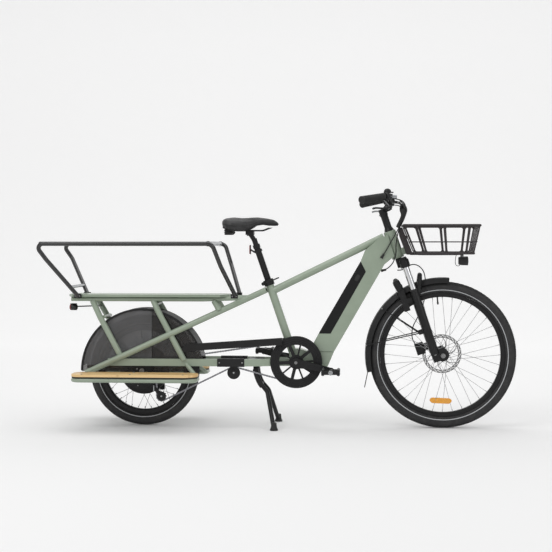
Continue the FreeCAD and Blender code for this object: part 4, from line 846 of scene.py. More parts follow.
hanger = Shape()
arm = rounded([(-612, 246), (-588, 250), (-566, 205), (-582, 184), (-598, 196)], 8)
body = rounded([(-596, 214), (-574, 222), (-560, 196), (-578, 180)], 7)
hanger.prism(arm, at(0, -70.5, 0), AHEAD, UP, LEFT * 5)
hanger.prism(body, at(0, -77, 0), AHEAD, UP, LEFT * 6.5)
hanger.nut(at(-582, -77, 199), -LEFT, 7.5, 4)
hanger.rod(at(-590, -74, 206), at(-612, -66, 222), 6)
piece("derailleur_body", hanger, "black_alloy", "frame", bevel=1)
face = [(0, 20), (0.4, 22), (1.6, 22), (2.4, 19), (2.6, 8), (2.2, 7)]
cover = Shape().spin(TENSION_JOCKEY - LEFT * 62.4, -LEFT, face, 48)
piece("tension_jockey_cover", cover, "dull_black", "frame")
face = [(0, 12), (1.6, 12), (2.4, 11), (2.4, 8.5), (1.4, 8)]
idler_face = Shape().spin(IDLER - LEFT * 62, -LEFT, face, 40)
idler_face.hoop(IDLER, [(26, -62), (29, -62), (28.4, -62.9), (26.6, -62.9)], 72)
piece("idler_face", idler_face, "dull_black", "idler")
jockey_screws = Shape()
jockey_screws.box((-2, -1, -15), (2, 1, 15), at(-563, -66, 176))
for centre in (GUIDE_JOCKEY, TENSION_JOCKEY):
    jockey_screws.bolt(centre - LEFT * 64.6, -LEFT, 4.2, 2.6)
jockey_screws.bolt(IDLER - LEFT * 64, -LEFT, 4.5, 2)
piece("jockey_screws", jockey_screws, "silver_alloy", "frame")


# ---------------------------------------------------------------- cockpit

for side in (-1, 1):
    label = "left" if side > 0 else "right"
    inner_end, outer_end = on_side(GRIP_INNER, side), on_side(BAR_END, side)
    along = (outer_end - inner_end).normalized()
    length = (outer_end - inner_end).length + 2.5
    stations = [(0, 12.5), (0, 17), (5, 17), (6, 15.8)]
    position = 8.0
    while position < length - 14:
        stations += [(position + d, r) for d, r in ((0, 15.4), (0.8, 16.6), (2.6, 16.6), (3.4, 15.4))]
        position += 4.6
    stations += [(length - d, r) for d, r in ((9, 15.8), (7, 17), (2, 17), (0, 15.5), (0, 6))]
    sleeve = Shape().loft([circle(inner_end + along * d, along, r, 40) for d, r in stations])
    piece(f"{label}_grip", sleeve, "grip_rubber", "steering", stands_for=["grips"] if side < 0 else ())


def lever_frame(side):
    """Directions of one brake lever: along the grip, towards the fingers, and the pivot axis."""
    grip = (on_side(BAR_END, side) - on_side(GRIP_INNER, side)).normalized()
    level = Vector((-grip.y * side, grip.x * side, 0)).normalized()
    forward = level if level.x > 0 else -level
    tilt = math.radians(60)
    fingers = forward * math.cos(tilt) - UP * math.sin(tilt)
    fingers = (fingers - grip * fingers.dot(grip)).normalized()
    return grip, fingers, grip.cross(fingers)


controls, screws = Shape(), Shape()
for side, name in ((-1, "right"), (1, "left")):
    grip, fingers, axis = lever_frame(side)
    origin = on_side(GRIP_INNER, side)
    pivot = origin - grip * 26 + fingers * 45
    controls.collar(origin - grip * 24, origin - grip * 8, 17, 11.4)
    body = [(-44, 1), (-40, 6.5), (-34, 9), (-12, 9), (-6, 8), (-2, 5)]
    controls.loft([circle(origin + grip * d + fingers * 19, grip, r, 28, 0, 0.92) for d, r in body])
    for low in (-9, 6):
        plate = rounded([(-34, 18), (-16, 18), (-18, 53), (-33, 53)], 7)
        controls.prism(plate, origin + axis * low, grip, fingers, axis * 3)
    screws.bolt(pivot + axis * 9, axis, 3.6, 1.8)
    screws.bolt(origin - grip * 13 + fingers * 26 + axis * 3, fingers, 2.8, 2.4)
    bends = ((0, 0), (22, 11), (62, 12), (104, 5), (127, 5))
    blade_line = smooth_line([pivot + grip * a + fingers * b for a, b in bends], 8)
    thick = [6.2 - 2.4 * i / 20 if i < 20 else 3.8 + 0.06 * (i - 20) for i in range(len(blade_line))]
    blade = Shape().tube(blade_line, thick, 16, 1.25, lead=fingers)
    blade.spin(pivot - axis * 5.4, axis, [(0, 6), (0.8, 7), (10, 7), (10.8, 6)], 24)
    finish = "silver_alloy" if side > 0 else "black_alloy"
    piece(f"{name}_lever_blade", blade, finish, f"lever_{name}",
          stands_for=[f"{name}_brake_lever"])
for up in (-8, 8):
    for out in (-17, 17):
        screws.bolt(BAR_CENTRE + Vector((15.5, out, up)), AHEAD, 3, 3)
screws.bolt(steer(0, 0, 238), STEER_AXIS, 5, 2)
screws.bolt(steer(-19.5, 0, 214), steer(-1, 0, 0) - steer(0, 0, 0), 3, 3)

controls.collar(at(521, -104, 1034), at(519.8, -88, 1028), 15, 11.4)
controls.spin(at(524, -92, 1038), UP, [(0, 6), (18, 7)], 20)
controls.collar(at(520.5, -172, 1058.5), at(521.5, -180, 1060.5), 14, 11.4)
controls.spin(BELL - UP * 24, UP, [(0, 6), (2, 7), (12, 5), (15, 8), (15.5, 15)], 28)
controls.prism([(4, -3), (24, -3), (24, 3), (4, 3)], BELL - UP * 16, AHEAD, LEFT, UP * 4)
shifter_axis = at(534, -160, 1043) - at(527, -142, 1036)
shifter = [(0, 14), (1.5, 17), (6, 17.5), (12, 17), (19, 15), (20.5, 10)]
controls.spin(at(527, -142, 1036), shifter_axis, shifter, 32)
controls.spin(at(548, -132, 1036), AHEAD, [(0, 5), (9, 5), (12, 3.4)], 18)
paddle = rounded([(-8, -5), (26, -7), (30, 4), (-6, 6)], 5)
controls.prism(paddle, at(514, -150, 1016), AHEAD, LEFT, UP * 4)
piece("control_bodies", controls, "black_plastic", "steering", stands_for=["controls"], bevel=0.6)
piece("cockpit_screws", screws, "axle_steel", "steering")

cylinder = [(0, 5), (1.5, 8.2), (4, 9), (46, 9), (49, 8), (50, 5)]
chamber = Shape().spin(at(507, -168, 1058), AHEAD, cylinder, 32)
chamber.tube([at(499, -178, 1043), at(514, -184, 1028), at(529, -190, 1011)], 2.8, 12)
piece("brake_chamber", chamber, "silver_alloy", "steering")

dome = [(10.6, 16.2), (12, 17.4), (14, 17.4), (19, 16.6), (24, 14.4), (28, 10.6), (30, 6.5), (30.8, 2),
        (30.9, 0.5)]
bell_dome = Shape().spin(BELL - UP * 19, UP, dome, 40)
piece("bell_dome", bell_dome, "black_alloy", "steering")

TILT = math.radians(8)
ACROSS = Vector((math.cos(TILT), 0, math.sin(TILT)))
OUTWARD = Vector((-math.sin(TILT), 0, math.cos(TILT)))
DISPLAY = at(539, -92, 1061)
unit = rounded([(-18, -27), (18, -27), (18, 27), (-18, 27)], 7)
case = Shape().prism(unit, DISPLAY - OUTWARD * 5, ACROSS, LEFT, OUTWARD * 9)
piece("display_case", case, "silver_alloy", "steering", bevel=1.2)
screen = Shape().prism([p * 0.8 for p in unit], DISPLAY + OUTWARD * 4, ACROSS, LEFT, OUTWARD * 0.8)
piece("display_screen", screen, "screen", "steering", bevel=0.2)
buttons = Shape()
for out in (-8, 0, 8):
    buttons.spin(at(531, out - 132, 1064), UP, [(-6, 3.6), (0, 3.6), (1.2, 2.8)], 16)
pad = rounded([(-7, -16), (9, -16), (9, 16), (-7, 16)], 5)
buttons.prism(pad, at(530, -132, 1052), AHEAD, LEFT, UP * 8)
piece("display_buttons", buttons, "black_plastic", "steering", bevel=0.4)


# ---------------------------------------------------------------- cables

SHIFT_CABLE = [(545, -146, 1050), (572, -120, 1048), (596, -84, 1030), (602, -54, 992), (584, -40, 948),
               (560, -38, 905), (532, -44, 856), (508, -45, 812), (490, -42, 784)]
BRAKE_HOSE = [(540, -150, 1040), (566, -106, 1038), (590, -66, 1018), (594, -38, 982), (578, -36, 940),
              (563, -43, 895), (554, -45, 845), (556, -44, 800), (542, -31, 757), (512, -14, 728),
              (489.5, -8, 723)]
# forward, side and up, as steer() takes them
FRONT_HOSE = [(-22, 14, -52), (4, 20, -62), (44, 30, -44), (80, 40, -62), (96, 52, -104), (78, 72, -170),
              (52, 89, -232), (24, 92, -268), (-6, 91, -298), (-38, 86, -328), (-55, 78, -364),
              (-57, 69, -396), (-46, 61, -420)]


def cable(name, points, radius, body=None):
    """A cable along the smooth spline that its route guides."""
    curve = bpy.data.curves.new(name, "CURVE")
    curve.dimensions = "3D"
    spline = curve.splines.new("NURBS")
    spline.points.add(len(points) - 1)
    for target, p in zip(spline.points, points):
        target.co = (*(p * MM), 1)
    spline.order_u = 3
    spline.use_endpoint_u = True
    spline.resolution_u = 10
    guide = bpy.data.objects.new(name + "_guide", curve)
    bpy.context.scene.collection.objects.link(guide)
    mesh = bpy.data.meshes.new_from_object(guide.evaluated_get(bpy.context.evaluated_depsgraph_get()))
    line = [v.co / MM for v in mesh.vertices]
    bpy.data.objects.remove(guide)
    return piece(name, Shape().tube(line, radius, 14), "cable_rubber", body)


shift = cable("shift_cable", [at(*p) for p in SHIFT_CABLE], 2.5)
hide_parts("control_cables")
rear_hose = cable("rear_brake_hose", [at(*p) for p in BRAKE_HOSE], 2.5)
for obj in (shift, rear_hose):
    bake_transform(obj)
front_hose = cable("front_brake_hose", [steer(*p) for p in FRONT_HOSE], 2.5)
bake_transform(front_hose)
BAR_CABLES = [
    ("left_brake_hose", 2.3, [(540, 150, 1040), (566, 110, 1046), (590, 60, 1040), (600, 10, 1012),
                              (592, -20, 975), (575, -34, 935)]),
    ("display_lead", 2.3, [(534, -118, 1050), (560, -100, 1052), (584, -76, 1036), (592, -50, 1004),
                           (582, -38, 955)]),
    ("near_lever_hose", 2.4, [(533, -200, 1020), (552, -150, 1021), (572, -90, 1019), (588, -52, 1008)]),
    ("near_lever_hose_2", 2.4, [(530, -190, 1028), (552, -140, 1031), (576, -86, 1028), (590, -50, 1014)]),
]
for name, radius, points in BAR_CABLES:
    cable(name, [at(*p) for p in points], radius, body="steering")
SLEEVE = [(582, -50, 1030), (589, -46, 1003), (588, -42, 976), (577, -39, 948), (562, -38, 921)]
sleeve_line = smooth_line([at(*p) for p in SLEEVE], 10)
# share of the way along, radius
SLEEVE_STATIONS = [(0, 7), (0.07, 13), (0.2, 17.6), (0.3, 17.6), (0.42, 13.5), (0.52, 11), (0.9, 10.5),
                   (1, 8)]
sizes = []
for index in range(len(sleeve_line)):
    share = index / (len(sleeve_line) - 1)
    for (a, low), (b, high) in zip(SLEEVE_STATIONS, SLEEVE_STATIONS[1:]):
        if a <= share <= b:
            width = low + (high - low) * (share - a) / (b - a)
    sizes.append(width + 0.35 * math.sin(index * 2.4))
bundle = piece("cable_sleeve", Shape().tube(sleeve_line, sizes, 24), "cable_rubber")
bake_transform(bundle)

grommets = Shape()
for place, towards in ((at(489, -40.5, 783), at(503, -44.6, 805)), (at(490, -8, 723), at(512, -14, 728))):
    grommets.spin(place, towards - place, [(-2, 7), (3, 7), (4.5, 5.6), (20, 5), (22, 3.2)], 20)
piece("cable_grommets", grommets, "grip_rubber", "frame")


# ---------------------------------------------------------------- basket and headlight

RIM = {"rear": 588, "front": 930, "side": 160, "z": 930}
FLOOR = {"rear": 640, "front": 903, "side": 140, "z": 804}


def wall_point(along, side, height):
    """A place on a basket wall: along and side run -1 to 1, height 0 at the floor to 1."""
    rear = FLOOR["rear"] + (RIM["rear"] - FLOOR["rear"]) * height
    front = FLOOR["front"] + (RIM["front"] - FLOOR["front"]) * height
    reach = FLOOR["side"] + (RIM["side"] - FLOOR["side"]) * height
    x = (rear + front) / 2 + (front - rear) / 2 * along
    return at(x, side * reach, FLOOR["z"] + (RIM["z"] - FLOOR["z"]) * height)


WINDOW_LOW, WINDOW_HIGH = 0.06, 0.94
CORNER_ALONG, CORNER_UP = 0.024, 0.07


def windowed_wall(shape, spans, wall, thickness):
    """A flat wall cut into windows with rounded corners. spans are the windows' ends along it, 0 to 1."""
    low, high = WINDOW_LOW, WINDOW_HIGH
    for index, (start, end) in enumerate(spans):
        left = 0.0 if index == 0 else (spans[index - 1][1] + start) / 2
        right = 1.0 if index == len(spans) - 1 else (end + spans[index + 1][0]) / 2
        hole = []
        for x, y, first in ((end, high, 0), (start, high, 90), (start, low, 180), (end, low, 270)):
            centre_x = x + CORNER_ALONG * (-1 if x == end else 1)
            centre_y = y + CORNER_UP * (-1 if y == high else 1)
            for step in range(5):
                turn = math.radians(first + step * 22.5)
                hole.append((centre_x + CORNER_ALONG * math.cos(turn), centre_y + CORNER_UP * math.sin(turn)))
        rim = []
        corners = [(right, 1), (left, 1), (left, 0), (right, 0)]
        for number, corner in enumerate(corners):
            before, after = corners[number - 1], corners[(number + 1) % 4]
            for step in range(-2, 3):
                towards = after if step > 0 else before
                rim.append([a + (b - a) * abs(step) / 4 for a, b in zip(corner, towards)])
        front = [[wall(u, v) for u, v in loop] for loop in (hole, rim)]
        back = [[p + thickness for p in loop] for loop in front]
        shape.loft([front[0], front[1], back[1], back[0]], wrap=True)


basket = Shape()
side_spans = [(0.02, 0.171), (0.209, 0.511), (0.549, 0.841), (0.879, 0.98)]
for side in (-1, 1):
    windowed_wall(basket, side_spans, lambda u, v: wall_point(u * 2 - 1, side, v), LEFT * -3 * side)
front_spans = [(0.02, 0.15), (0.19, 0.315), (0.355, 0.48), (0.52, 0.645), (0.685, 0.81), (0.85, 0.98)]
windowed_wall(basket, front_spans, lambda u, v: wall_point(1, u * 2 - 1, v), AHEAD * -3)
rear_spans = [(0.02, 0.23), (0.27, 0.73), (0.77, 0.98)]
windowed_wall(basket, rear_spans, lambda u, v: wall_point(-1, u * 2 - 1, v), AHEAD * 3)
piece("basket_walls", basket, "basket_black", "frame", stands_for=["basket"], bevel=0.7)
rails = Shape()
for height, radius, corner in ((1, 6, 26), (0, 5.5, 22)):
    reach_x = (wall_point(1, 0, height).x - wall_point(-1, 0, height).x) / 2
    reach_y = wall_point(0, 1, height).y
    middle = (wall_point(1, 0, height) + wall_point(-1, 0, height)) / 2
    square = [(-reach_x, -reach_y), (reach_x, -reach_y), (reach_x, reach_y), (-reach_x, reach_y)]
    loop = rounded(square, corner, 8)
    rails.loop_tube([middle + Vector((p[0], p[1], 0)) for p in loop], radius, 14)
piece("basket_rails", rails, "basket_black", "frame")
wires = Shape()
corners = [wall_point(along, side, 0.41) for along, side in ((-1, -1), (1, -1), (1, 1), (-1, 1))]
for a, b in zip(corners, corners[1:] + corners[:1]):
    wires.rod(a, b, 2.5, steps=12)
for along in (-0.8, -0.6, -0.4, -0.2, 0, 0.2, 0.4, 0.6, 0.8):
    wires.rod(wall_point(along, -1, 0), wall_point(along, 1, 0), 2.6, steps=12)
for side in (-0.66, -0.33, 0, 0.33, 0.66):
    wires.rod(wall_point(-1, side, 0) + UP * 4, wall_point(1, side, 0) + UP * 4, 2.6, steps=12)
piece("basket_wires", wires, "basket_black", "frame")
carrier = Shape()
STEER_AHEAD = steer(1, 0, 0) - steer(0, 0, 0)
plate = rounded([(-30, 10), (30, 10), (30, 60), (-30, 60)], 9)
carrier.prism(plate, steer(44.4, 0, 0), LEFT, STEER_AXIS, STEER_AHEAD * 9)
carrier.prism(rounded([(620, -22), (850, -22), (850, 22), (620, 22)], 8), at(0, 0, 795), AHEAD, LEFT, UP * 4)
band = rounded([(603, 797), (634, 797), (584, 922), (566, 922), (572, 880)], 6)
for side in (-1, 1):
    carrier.prism(band, at(0, side * 32 - 2, 0), AHEAD, UP, LEFT * 4)
carrier.prism([(603, 800), (607, 800), (576, 880), (572, 880)], at(0, -31, 0), AHEAD, UP, LEFT * 62)
for side in (-1, 1):
    low_bar = [steer(49, side * 22, 12), at(626, side * 22, 806), at(660, side * 22, 799),
               at(840, side * 22, 799)]
    high_bar = [steer(49, side * 24, 56), at(598, side * 30, 862), at(606, side * 34, 884)]
    for bar in (low_bar, high_bar):
        carrier.tube(smooth_line(bar, 6), 4.5, 12)
piece("basket_carrier", carrier, "basket_black", "frame", bevel=1)
carrier_screws = Shape()
for side in (-1, 1):
    for up in (22, 48):
        carrier_screws.bolt(steer(53.4, side * 14, up), STEER_AHEAD, 4, 3)
for x in (690, 760, 830):
    carrier_screws.bolt(at(x, 0, 799), UP, 4, 3)
piece("carrier_screws", carrier_screws, "axle_steel", "frame")

lamp = Shape()
LAMP_RING = rounded([(-26, -20.5), (26, -20.5), (26, 20.5), (-26, 20.5)], 10)
LAMP_Z = 768.5


def lamp_rings(stations):
    """The lamp's outline at each station, as far forward and as large as it says."""
    return [[at(x, p[0] * size, LAMP_Z + p[1] * size) for p in LAMP_RING] for x, size in stations]


lamp.loft(lamp_rings([(842, 0.72), (845, 0.88), (856, 0.98), (878, 1.0), (884, 1.0), (885, 0.93), (881, 0.86),
                      (880, 0.2)]))
for up in (-10, -5, 0, 5, 10):
    lamp.box((-4, -15, -1), (0, 15, 1), at(845, 0, LAMP_Z + up))
lamp.box((-7, -8, 14), (7, 8, 31), at(858, 0, LAMP_Z))
piece("headlight_case", lamp, "lamp_plastic", "frame", stands_for=["headlight"], bevel=0.5)
glass = Shape().loft(lamp_rings([(880.5, 0.84), (884.5, 0.82), (887.5, 0.6), (888, 0.2)]))
piece("headlight_lens", glass, "clear_lens", "frame")
pivot_bolts = Shape().bolt(at(858, -8, 790), -LEFT, 4, 3).bolt(at(858, 8, 790), LEFT, 4, 3)
piece("headlight_bolt", pivot_bolts, "axle_steel", "frame")
LAMP_LEAD = [(850, 0, 752), (846, 0, 744), (830, -2, 746), (826, -3, 770), (832, -2, 796)]
cable("headlight_lead", [at(*p) for p in LAMP_LEAD], 1.4, body="frame")


# ---------------------------------------------------------------- saddle and seatpost

SADDLE_PROFILE = [
    # x, half width, top, lower edge, crown
    (-250, 42, 954, 926, 3),
    (-243, 64, 963, 920, 5),
    (-228, 80, 967, 915, 7),
    (-205, 89, 966, 909, 8),
    (-180, 85, 964, 906, 8),
    (-155, 72, 962, 907, 8),
    (-128, 53, 963, 911, 8),
    (-108, 42, 965, 920, 8),
    (-90, 35, 966, 932, 8),
    (-62, 29, 967, 936, 8),
    (-35, 25, 966, 932, 8),
    (-8, 21, 962, 931, 7),
    (9, 14, 952, 932, 5),
    (18, 7, 941, 934, 3),
]


def saddle_ring(x, half, top, low, crown, shrink):
    """One cross-section of the cushion, open curve over the top and tucked in below."""
    half, top, low = half - shrink, top - shrink, low + shrink * 0.5
    ring = []
    for side in (1, -1):
        places = [(1.0, 0.0), (1.04, 0.3), (0.99, 0.58), (0.86, 0.84), (0.62, 0.97),
                  (0.3, 1.0 + crown * 0.004)]
        if side < 0:
            places = places[::-1]
        ring += [at(x, side * half * a, low + (top - low) * b) for a, b in places]
    tuck = [(-0.9, -0.02), (-0.5, 0.16), (0.0, 0.2), (0.5, 0.16), (0.9, -0.02)]
    ring += [at(x, half * a, low + (top - low) * b) for a, b in tuck]
    return ring


CLOTH_FRAMES = 20


def cushion(name, shape, shrink_cap):
    """Pads a shape with the cloth simulation, and leaves only its final mesh."""
    made = piece(name, shape, "saddle_cover")
    remesh = made.modifiers.new("remesh", "REMESH")
    remesh.mode = "VOXEL"
    remesh.voxel_size = 4.5 * MM
    settle(made)
    rest = [v.co.copy() for v in made.data.vertices]
    cloth = made.modifiers.new("cloth", "CLOTH")
    settings = cloth.settings
    settings.quality = 6
    settings.mass = 0.25
    settings.tension_stiffness = settings.compression_stiffness = 25
    settings.shear_stiffness = 10
    settings.bending_stiffness = 4
    settings.use_pressure = True
    settings.uniform_pressure_force = 4
    settings.effector_weights.gravity = 0
    cloth.point_cache.frame_start = 1
    cloth.point_cache.frame_end = CLOTH_FRAMES
    for step in range(1, CLOTH_FRAMES + 1):
        bpy.context.scene.frame_set(step)
    settle(made)
    for vertex, start in zip(made.data.vertices, rest):
        move = vertex.co - start
        if move.length > shrink_cap * MM:
            vertex.co = start + move.normalized() * shrink_cap * MM
    bpy.context.scene.frame_set(1)
    finer = made.modifiers.new("finer", "SUBSURF")
    finer.levels = finer.render_levels = 1
    settle(made)
    shade(made, 80)
    return made


def settle(obj):
    """Replaces the object's mesh with what its modifiers make of it."""
    bpy.context.view_layer.update()
    mesh = bpy.data.meshes.new_from_object(obj.evaluated_get(bpy.context.evaluated_depsgraph_get()))
    mesh.materials.clear()
    mesh.materials.append(FINISHES["saddle_cover"].material)
    obj.modifiers.clear()
    obj.data = mesh


rings = [saddle_ring(*row, 4) for row in SADDLE_PROFILE]
saddle = cushion("saddle_cushion", Shape().loft(rings), 7)
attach(saddle, "seat")
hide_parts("saddle")

piping = Shape()
for side in (-1, 1):
    line = []
    for x, half, top, low, _ in SADDLE_PROFILE[1:-1]:
        line.append(at(x, side * (half + 0.5), low + (top - low) * 0.42))
    piping.tube(smooth_line(line, 5), 1.5, 8)
piece("saddle_piping", piping, "grip_rubber", "seat")
base_rings = []
for x, half, top, low, _ in SADDLE_PROFILE[1:-1]:
    under, over = half * 0.93, half * 0.86
    outline = rounded([(-under, low - 1), (under, low - 1), (over, low + 10), (-over, low + 10)], 4, 3)
    base_rings.append([at(x, p[0], p[1]) for p in outline])
piece("saddle_base", Shape().loft(base_rings), "black_plastic", "seat")
lumps = Shape()
for side in (-1, 1):
    lumps.spin(at(-216, side * 33, 924), -UP,
               [(0, 20), (5, 23), (10, 19.5), (15, 24), (20, 20), (25, 23), (32, 18), (36, 10)], 36)
piece("saddle_springs", lumps, "grip_rubber", "seat")

holder = Shape()
holder.collar(seat_axis(535), seat_axis(547), 19.5, 15.4)
holder.rod(seat_axis(541, -18), at(-119, 0, 820), 4)
back = rounded([(-9.5, -22), (9.5, -22), (9.5, 22), (-9.5, 22)], 5)
holder.prism(back, at(-120, 0, 820), LEFT, UP, AHEAD * 3)
piece("seat_reflector_holder", holder, "black_plastic", "seat", bevel=0.5)
pane = rounded([(-8, -20.5), (8, -20.5), (8, 20.5), (-8, 20.5)], 4)
glass = Shape().prism(pane, at(-124, 0, 820), LEFT, UP, AHEAD * 4)
piece("seat_reflector", glass, "red_lens", "seat", bevel=1)
post_screws = Shape()
for x in (-10, 10):
    post_screws.bolt(at(-122 + x, 0, 908), UP, 4, 4)
    post_screws.bolt(at(-122 + x, 0, 888), -UP, 4, 5)
piece("seatpost_screws", post_screws, "axle_steel", "seat")

quick_release = Shape()
skewer = seat_axis(388, -26)
quick_release.spin(skewer + LEFT * 9, LEFT, [(0, 7), (5, 8), (9, 6), (12, 3)], 24)
quick_release.spin(skewer - LEFT * 9, -LEFT, [(0, 8), (9, 8.5), (11, 6)], 24)
bends = [(0, -15, 0), (18, -19, 6), (50, -22, 20), (74, -19, 30)]
lever = smooth_line([skewer + Vector(p) for p in bends], 6)
quick_release.tube(lever, 5.2, 14, 0.6)
piece("seat_quick_release", quick_release, "black_alloy", "frame")


# ---------------------------------------------------------------- fork, guards and lock

seals = Shape()
for side in (-1, 1):
    seals.collar(steer(18, side * 65, -164), steer(18, side * 65, -155), 19, 15)
piece("fork_seals", seals, "grip_rubber", "slider")
knobs = Shape()
for side, height in ((-1, 9), (1, 4)):
    stations = [(0, 17), (1.5, 17.5), (height, 16), (height + 1.5, 12), (height + 1.8, 4)]
    knobs.spin(steer(18, side * 65, -14), STEER_AXIS, stations, 36)
piece("fork_knobs", knobs, "black_alloy", "steering")
fork_details = Shape()
for side in (-1, 1):
    fork_details.bolt(steer(18, side * 65, -468), -STEER_AXIS, 8, 5)
    fork_details.nut(FRONT_AXLE + LEFT * side * 73.5, LEFT * side, 9.5, 6)
piece("fork_screws", fork_details, "axle_steel", "slider")

lock = Shape()
start, end = steer(-47, -50, -98), steer(-40, -50, -140)
axis = end - start
along = axis.normalized()
first, second = square_to(axis)
for index in range(18):
    turn = math.radians(index * 20)
    rib = start + (first * math.cos(turn) + second * math.sin(turn)) * 15.6
    lock.rod(rib + along * 6, rib + along * 30, 1.5, steps=8)
lock.spin(start, -axis, [(0, 16), (2.5, 15.5), (4, 12), (4.2, 5), (3, 4.6)], 36)
piece("lock_barrel", lock, "black_plastic", "slider")
bends = [(-56, -40, -130), (-62, -38, -150), (-60, -40, -176), (-52, -43, -188)]
strap = smooth_line([steer(*p) for p in bends], 6)
piece("lock_strap", Shape().tube(strap, 3, 10, 0.35), "silver_alloy", "slider")

guard_screws = Shape()
for side in (-1, 1):
    for x, z in ((491, 550), (418, 380)):
        guard_screws.nut(at(x, side * 42, z), LEFT * side, 4, 4)
piece("mudguard_screws", guard_screws, "axle_steel", "slider")
lugs = Shape()
for side in (-1, 1):
    lugs.rod(at(660, side * 53, 437), at(692, side * 61, 447), 7, 8)
    lugs.bolt(at(662, side * 58, 438), LEFT * side, 4, 3)
piece("mudguard_lugs", lugs, "black_alloy", "slider")


# ---------------------------------------------------------------- frame details

battery = Shape()
battery.spin(at(300, -36, 478), -LEFT, [(0, 11), (1.2, 11), (1.8, 9.5), (1.8, 4), (0.6, 3.6)], 32)
piece("battery_lock", battery, "silver_alloy", "battery_pack")
port = rounded([(-16, -9), (16, -9), (16, 9), (-16, 9)], 7)
ALONG_DOWN = (at(417, 0, 718) - at(255, 0, 433)).normalized()
ACROSS_DOWN = Vector((ALONG_DOWN.z, 0, -ALONG_DOWN.x))
cap = Shape().prism(port, at(378, -36, 690), ALONG_DOWN, ACROSS_DOWN, -LEFT * 2.2)
piece("charge_port", cap, "grip_rubber", "battery_pack", bevel=0.7)
seam = Shape()
for side in (-1, 1):
    for a, b in (((246, 470), (290, 470)), ((401, 742), (392, 741))):
        seam.rod(at(a[0], side * 36.1, a[1]), at(b[0], side * 36.1, b[1]), 0.6, steps=8)
piece("battery_seams", seam, "black_plastic", "battery_pack")


frame_screws = Shape()
for x, y in ((-912, 99.5), (-184, 99.5)):
    for side in (-1, 1):
        for shift in (-9, 9):
            frame_screws.bolt(at(x + shift, side * 106, 606), LEFT * side, 3.6, 3)
for side in (-1, 1):
    for x in (-860, -640, -400):
        frame_screws.bolt(at(x, side * 152, 259), UP, 5, 1.8)
        frame_screws.bolt(at(x, side * 250, 259), UP, 5, 1.8)
    frame_screws.nut(REAR_AXLE + LEFT * side * 82, LEFT * side, 11.5, 7)
    for x in (-255, -150):
        frame_screws.bolt(at(x, side * 87.5, 300), LEFT * side, 3.5, 2.4)
frame_screws.bolt(at(-640, -73, 268), -LEFT, 4, 3)
frame_screws.bolt(at(-600, -73, 250), -LEFT, 4, 3)
for x in (-116, -68):
    for side in (-1, 1):
        frame_screws.bolt(at(x, side * 44, 284), -UP, 5, 4)
piece("frame_screws", frame_screws, "axle_steel", "frame")

# a black layer 5.4 mm deep under each plank, filling the gap between the tubes and the plank
dark_underlays = Shape()
BOARD = [(-913, 165), (-890, 137), (-380, 137), (-338, 165), (-338, 235), (-375, 265), (-890, 265),
         (-913, 235)]
boards = Shape()
for side in (-1, 1):
    outline = rounded([(x, side * y) for x, y in BOARD], 26, 6)
    boards.prism(outline, at(0, 0, 247.4), AHEAD, LEFT, UP * 11.6)
    slim = [Vector((p[0] * 0.997 - 1.9, p[1] - (2.5 if abs(p[1]) > 200 else -2.5) * side)) for p in outline]
    dark_underlays.prism(slim, at(0, 0, 241.8), AHEAD, LEFT, UP * 5.4)
piece("footboard_planks", boards, "bamboo", "frame", stands_for=["footboards"], bevel=2)
piece("footboard_dark_underlays", dark_underlays, "grip_rubber", "frame", bevel=0.8)

joints = Shape()
for side in (-1, 1):
    joints.collar(at(-288, side * 222, 847), at(-288, side * 247, 847), 12, 10.05)
piece("rail_joints", joints, "dull_black", "frame")
cross_tube = Shape().collar(at(-288, -222, 847), at(-288, 222, 847), 10.5, 9.6)
piece("rail_cross_tube", cross_tube, "silver_alloy", "frame")
brace = Shape().rod(at(-938, -138, 648), at(-938, 138, 648), 7.3, steps=20)
piece("rail_brace", brace, "silver_alloy", "frame")

red = Shape().spin(at(-966.5, 0, 549), -AHEAD, [(0, 14.6), (3, 14.6), (6, 12), (7.5, 7), (8, 2)], 36)
piece("rear_lamp_lens", red, "red_lens", "frame")
hood = Shape()
hood.box((-22, -17, 14.5), (4, 17, 17.5), at(-946, 0, 549))
hood.spin(at(-943, 0, 549), AHEAD, [(0, 15.2), (2, 15), (6, 9), (7, 4)], 32)
piece("rear_lamp_hood", hood, "black_plastic", "frame", bevel=0.8)

seams = Shape()
for side in (-1, 1):
    seams.rod(at(SKIRT_SEAM, side * 63.4, 316), at(SKIRT_SEAM, side * 63.4, 537), 1.2, steps=8)
    seams.hoop(REAR_AXLE, [(31, side * 61), (37, side * 61), (36, side * 64.5), (31, side * 64.5)], 60)
piece("skirt_seams", seams, "black_plastic", "frame")
edge = Shape()
for side in (-1, 1):
    band = [(279, 62), (289, 62), (289.4, 65.4), (287, 66.4), (279, 65)]
    edge.hoop(REAR_AXLE, [(r, side * out) for r, out in band], 120, 20, 160)
piece("guard_edges", edge, "black_plastic", "frame")

feet = Shape()
STAND_FOOT = [(0.2, 17.5), (3, 18.5), (7, 18), (12, 15), (20, 13.2), (34, 12), (36, 11)]
for side in (-1, 1):
    feet.loft([circle(at(1.5, side * 149, z), UP, r, 28) for z, r in STAND_FOOT])
piece("stand_feet", feet, "grip_rubber", "stand")
casting = Shape()
for side in (-1, 1):
    cap = [(0, 13), (2, 13), (3, 9), (5, 8.5), (5.5, 6)]
    casting.spin(STAND_PIVOT + LEFT * side * 45, LEFT * side, cap, 28)
    bends = [(-91, 34, 268), (-86, 36, 240), (-74, 38, 208), (-60, 40, 186)]
    line = smooth_line([at(x, side * y, z) for x, y, z in bends], 6)
    casting.tube(line, [13 - 0.12 * i for i in range(len(line))], 16, 1.1)
piece("stand_casting", casting, "black_alloy", "stand")


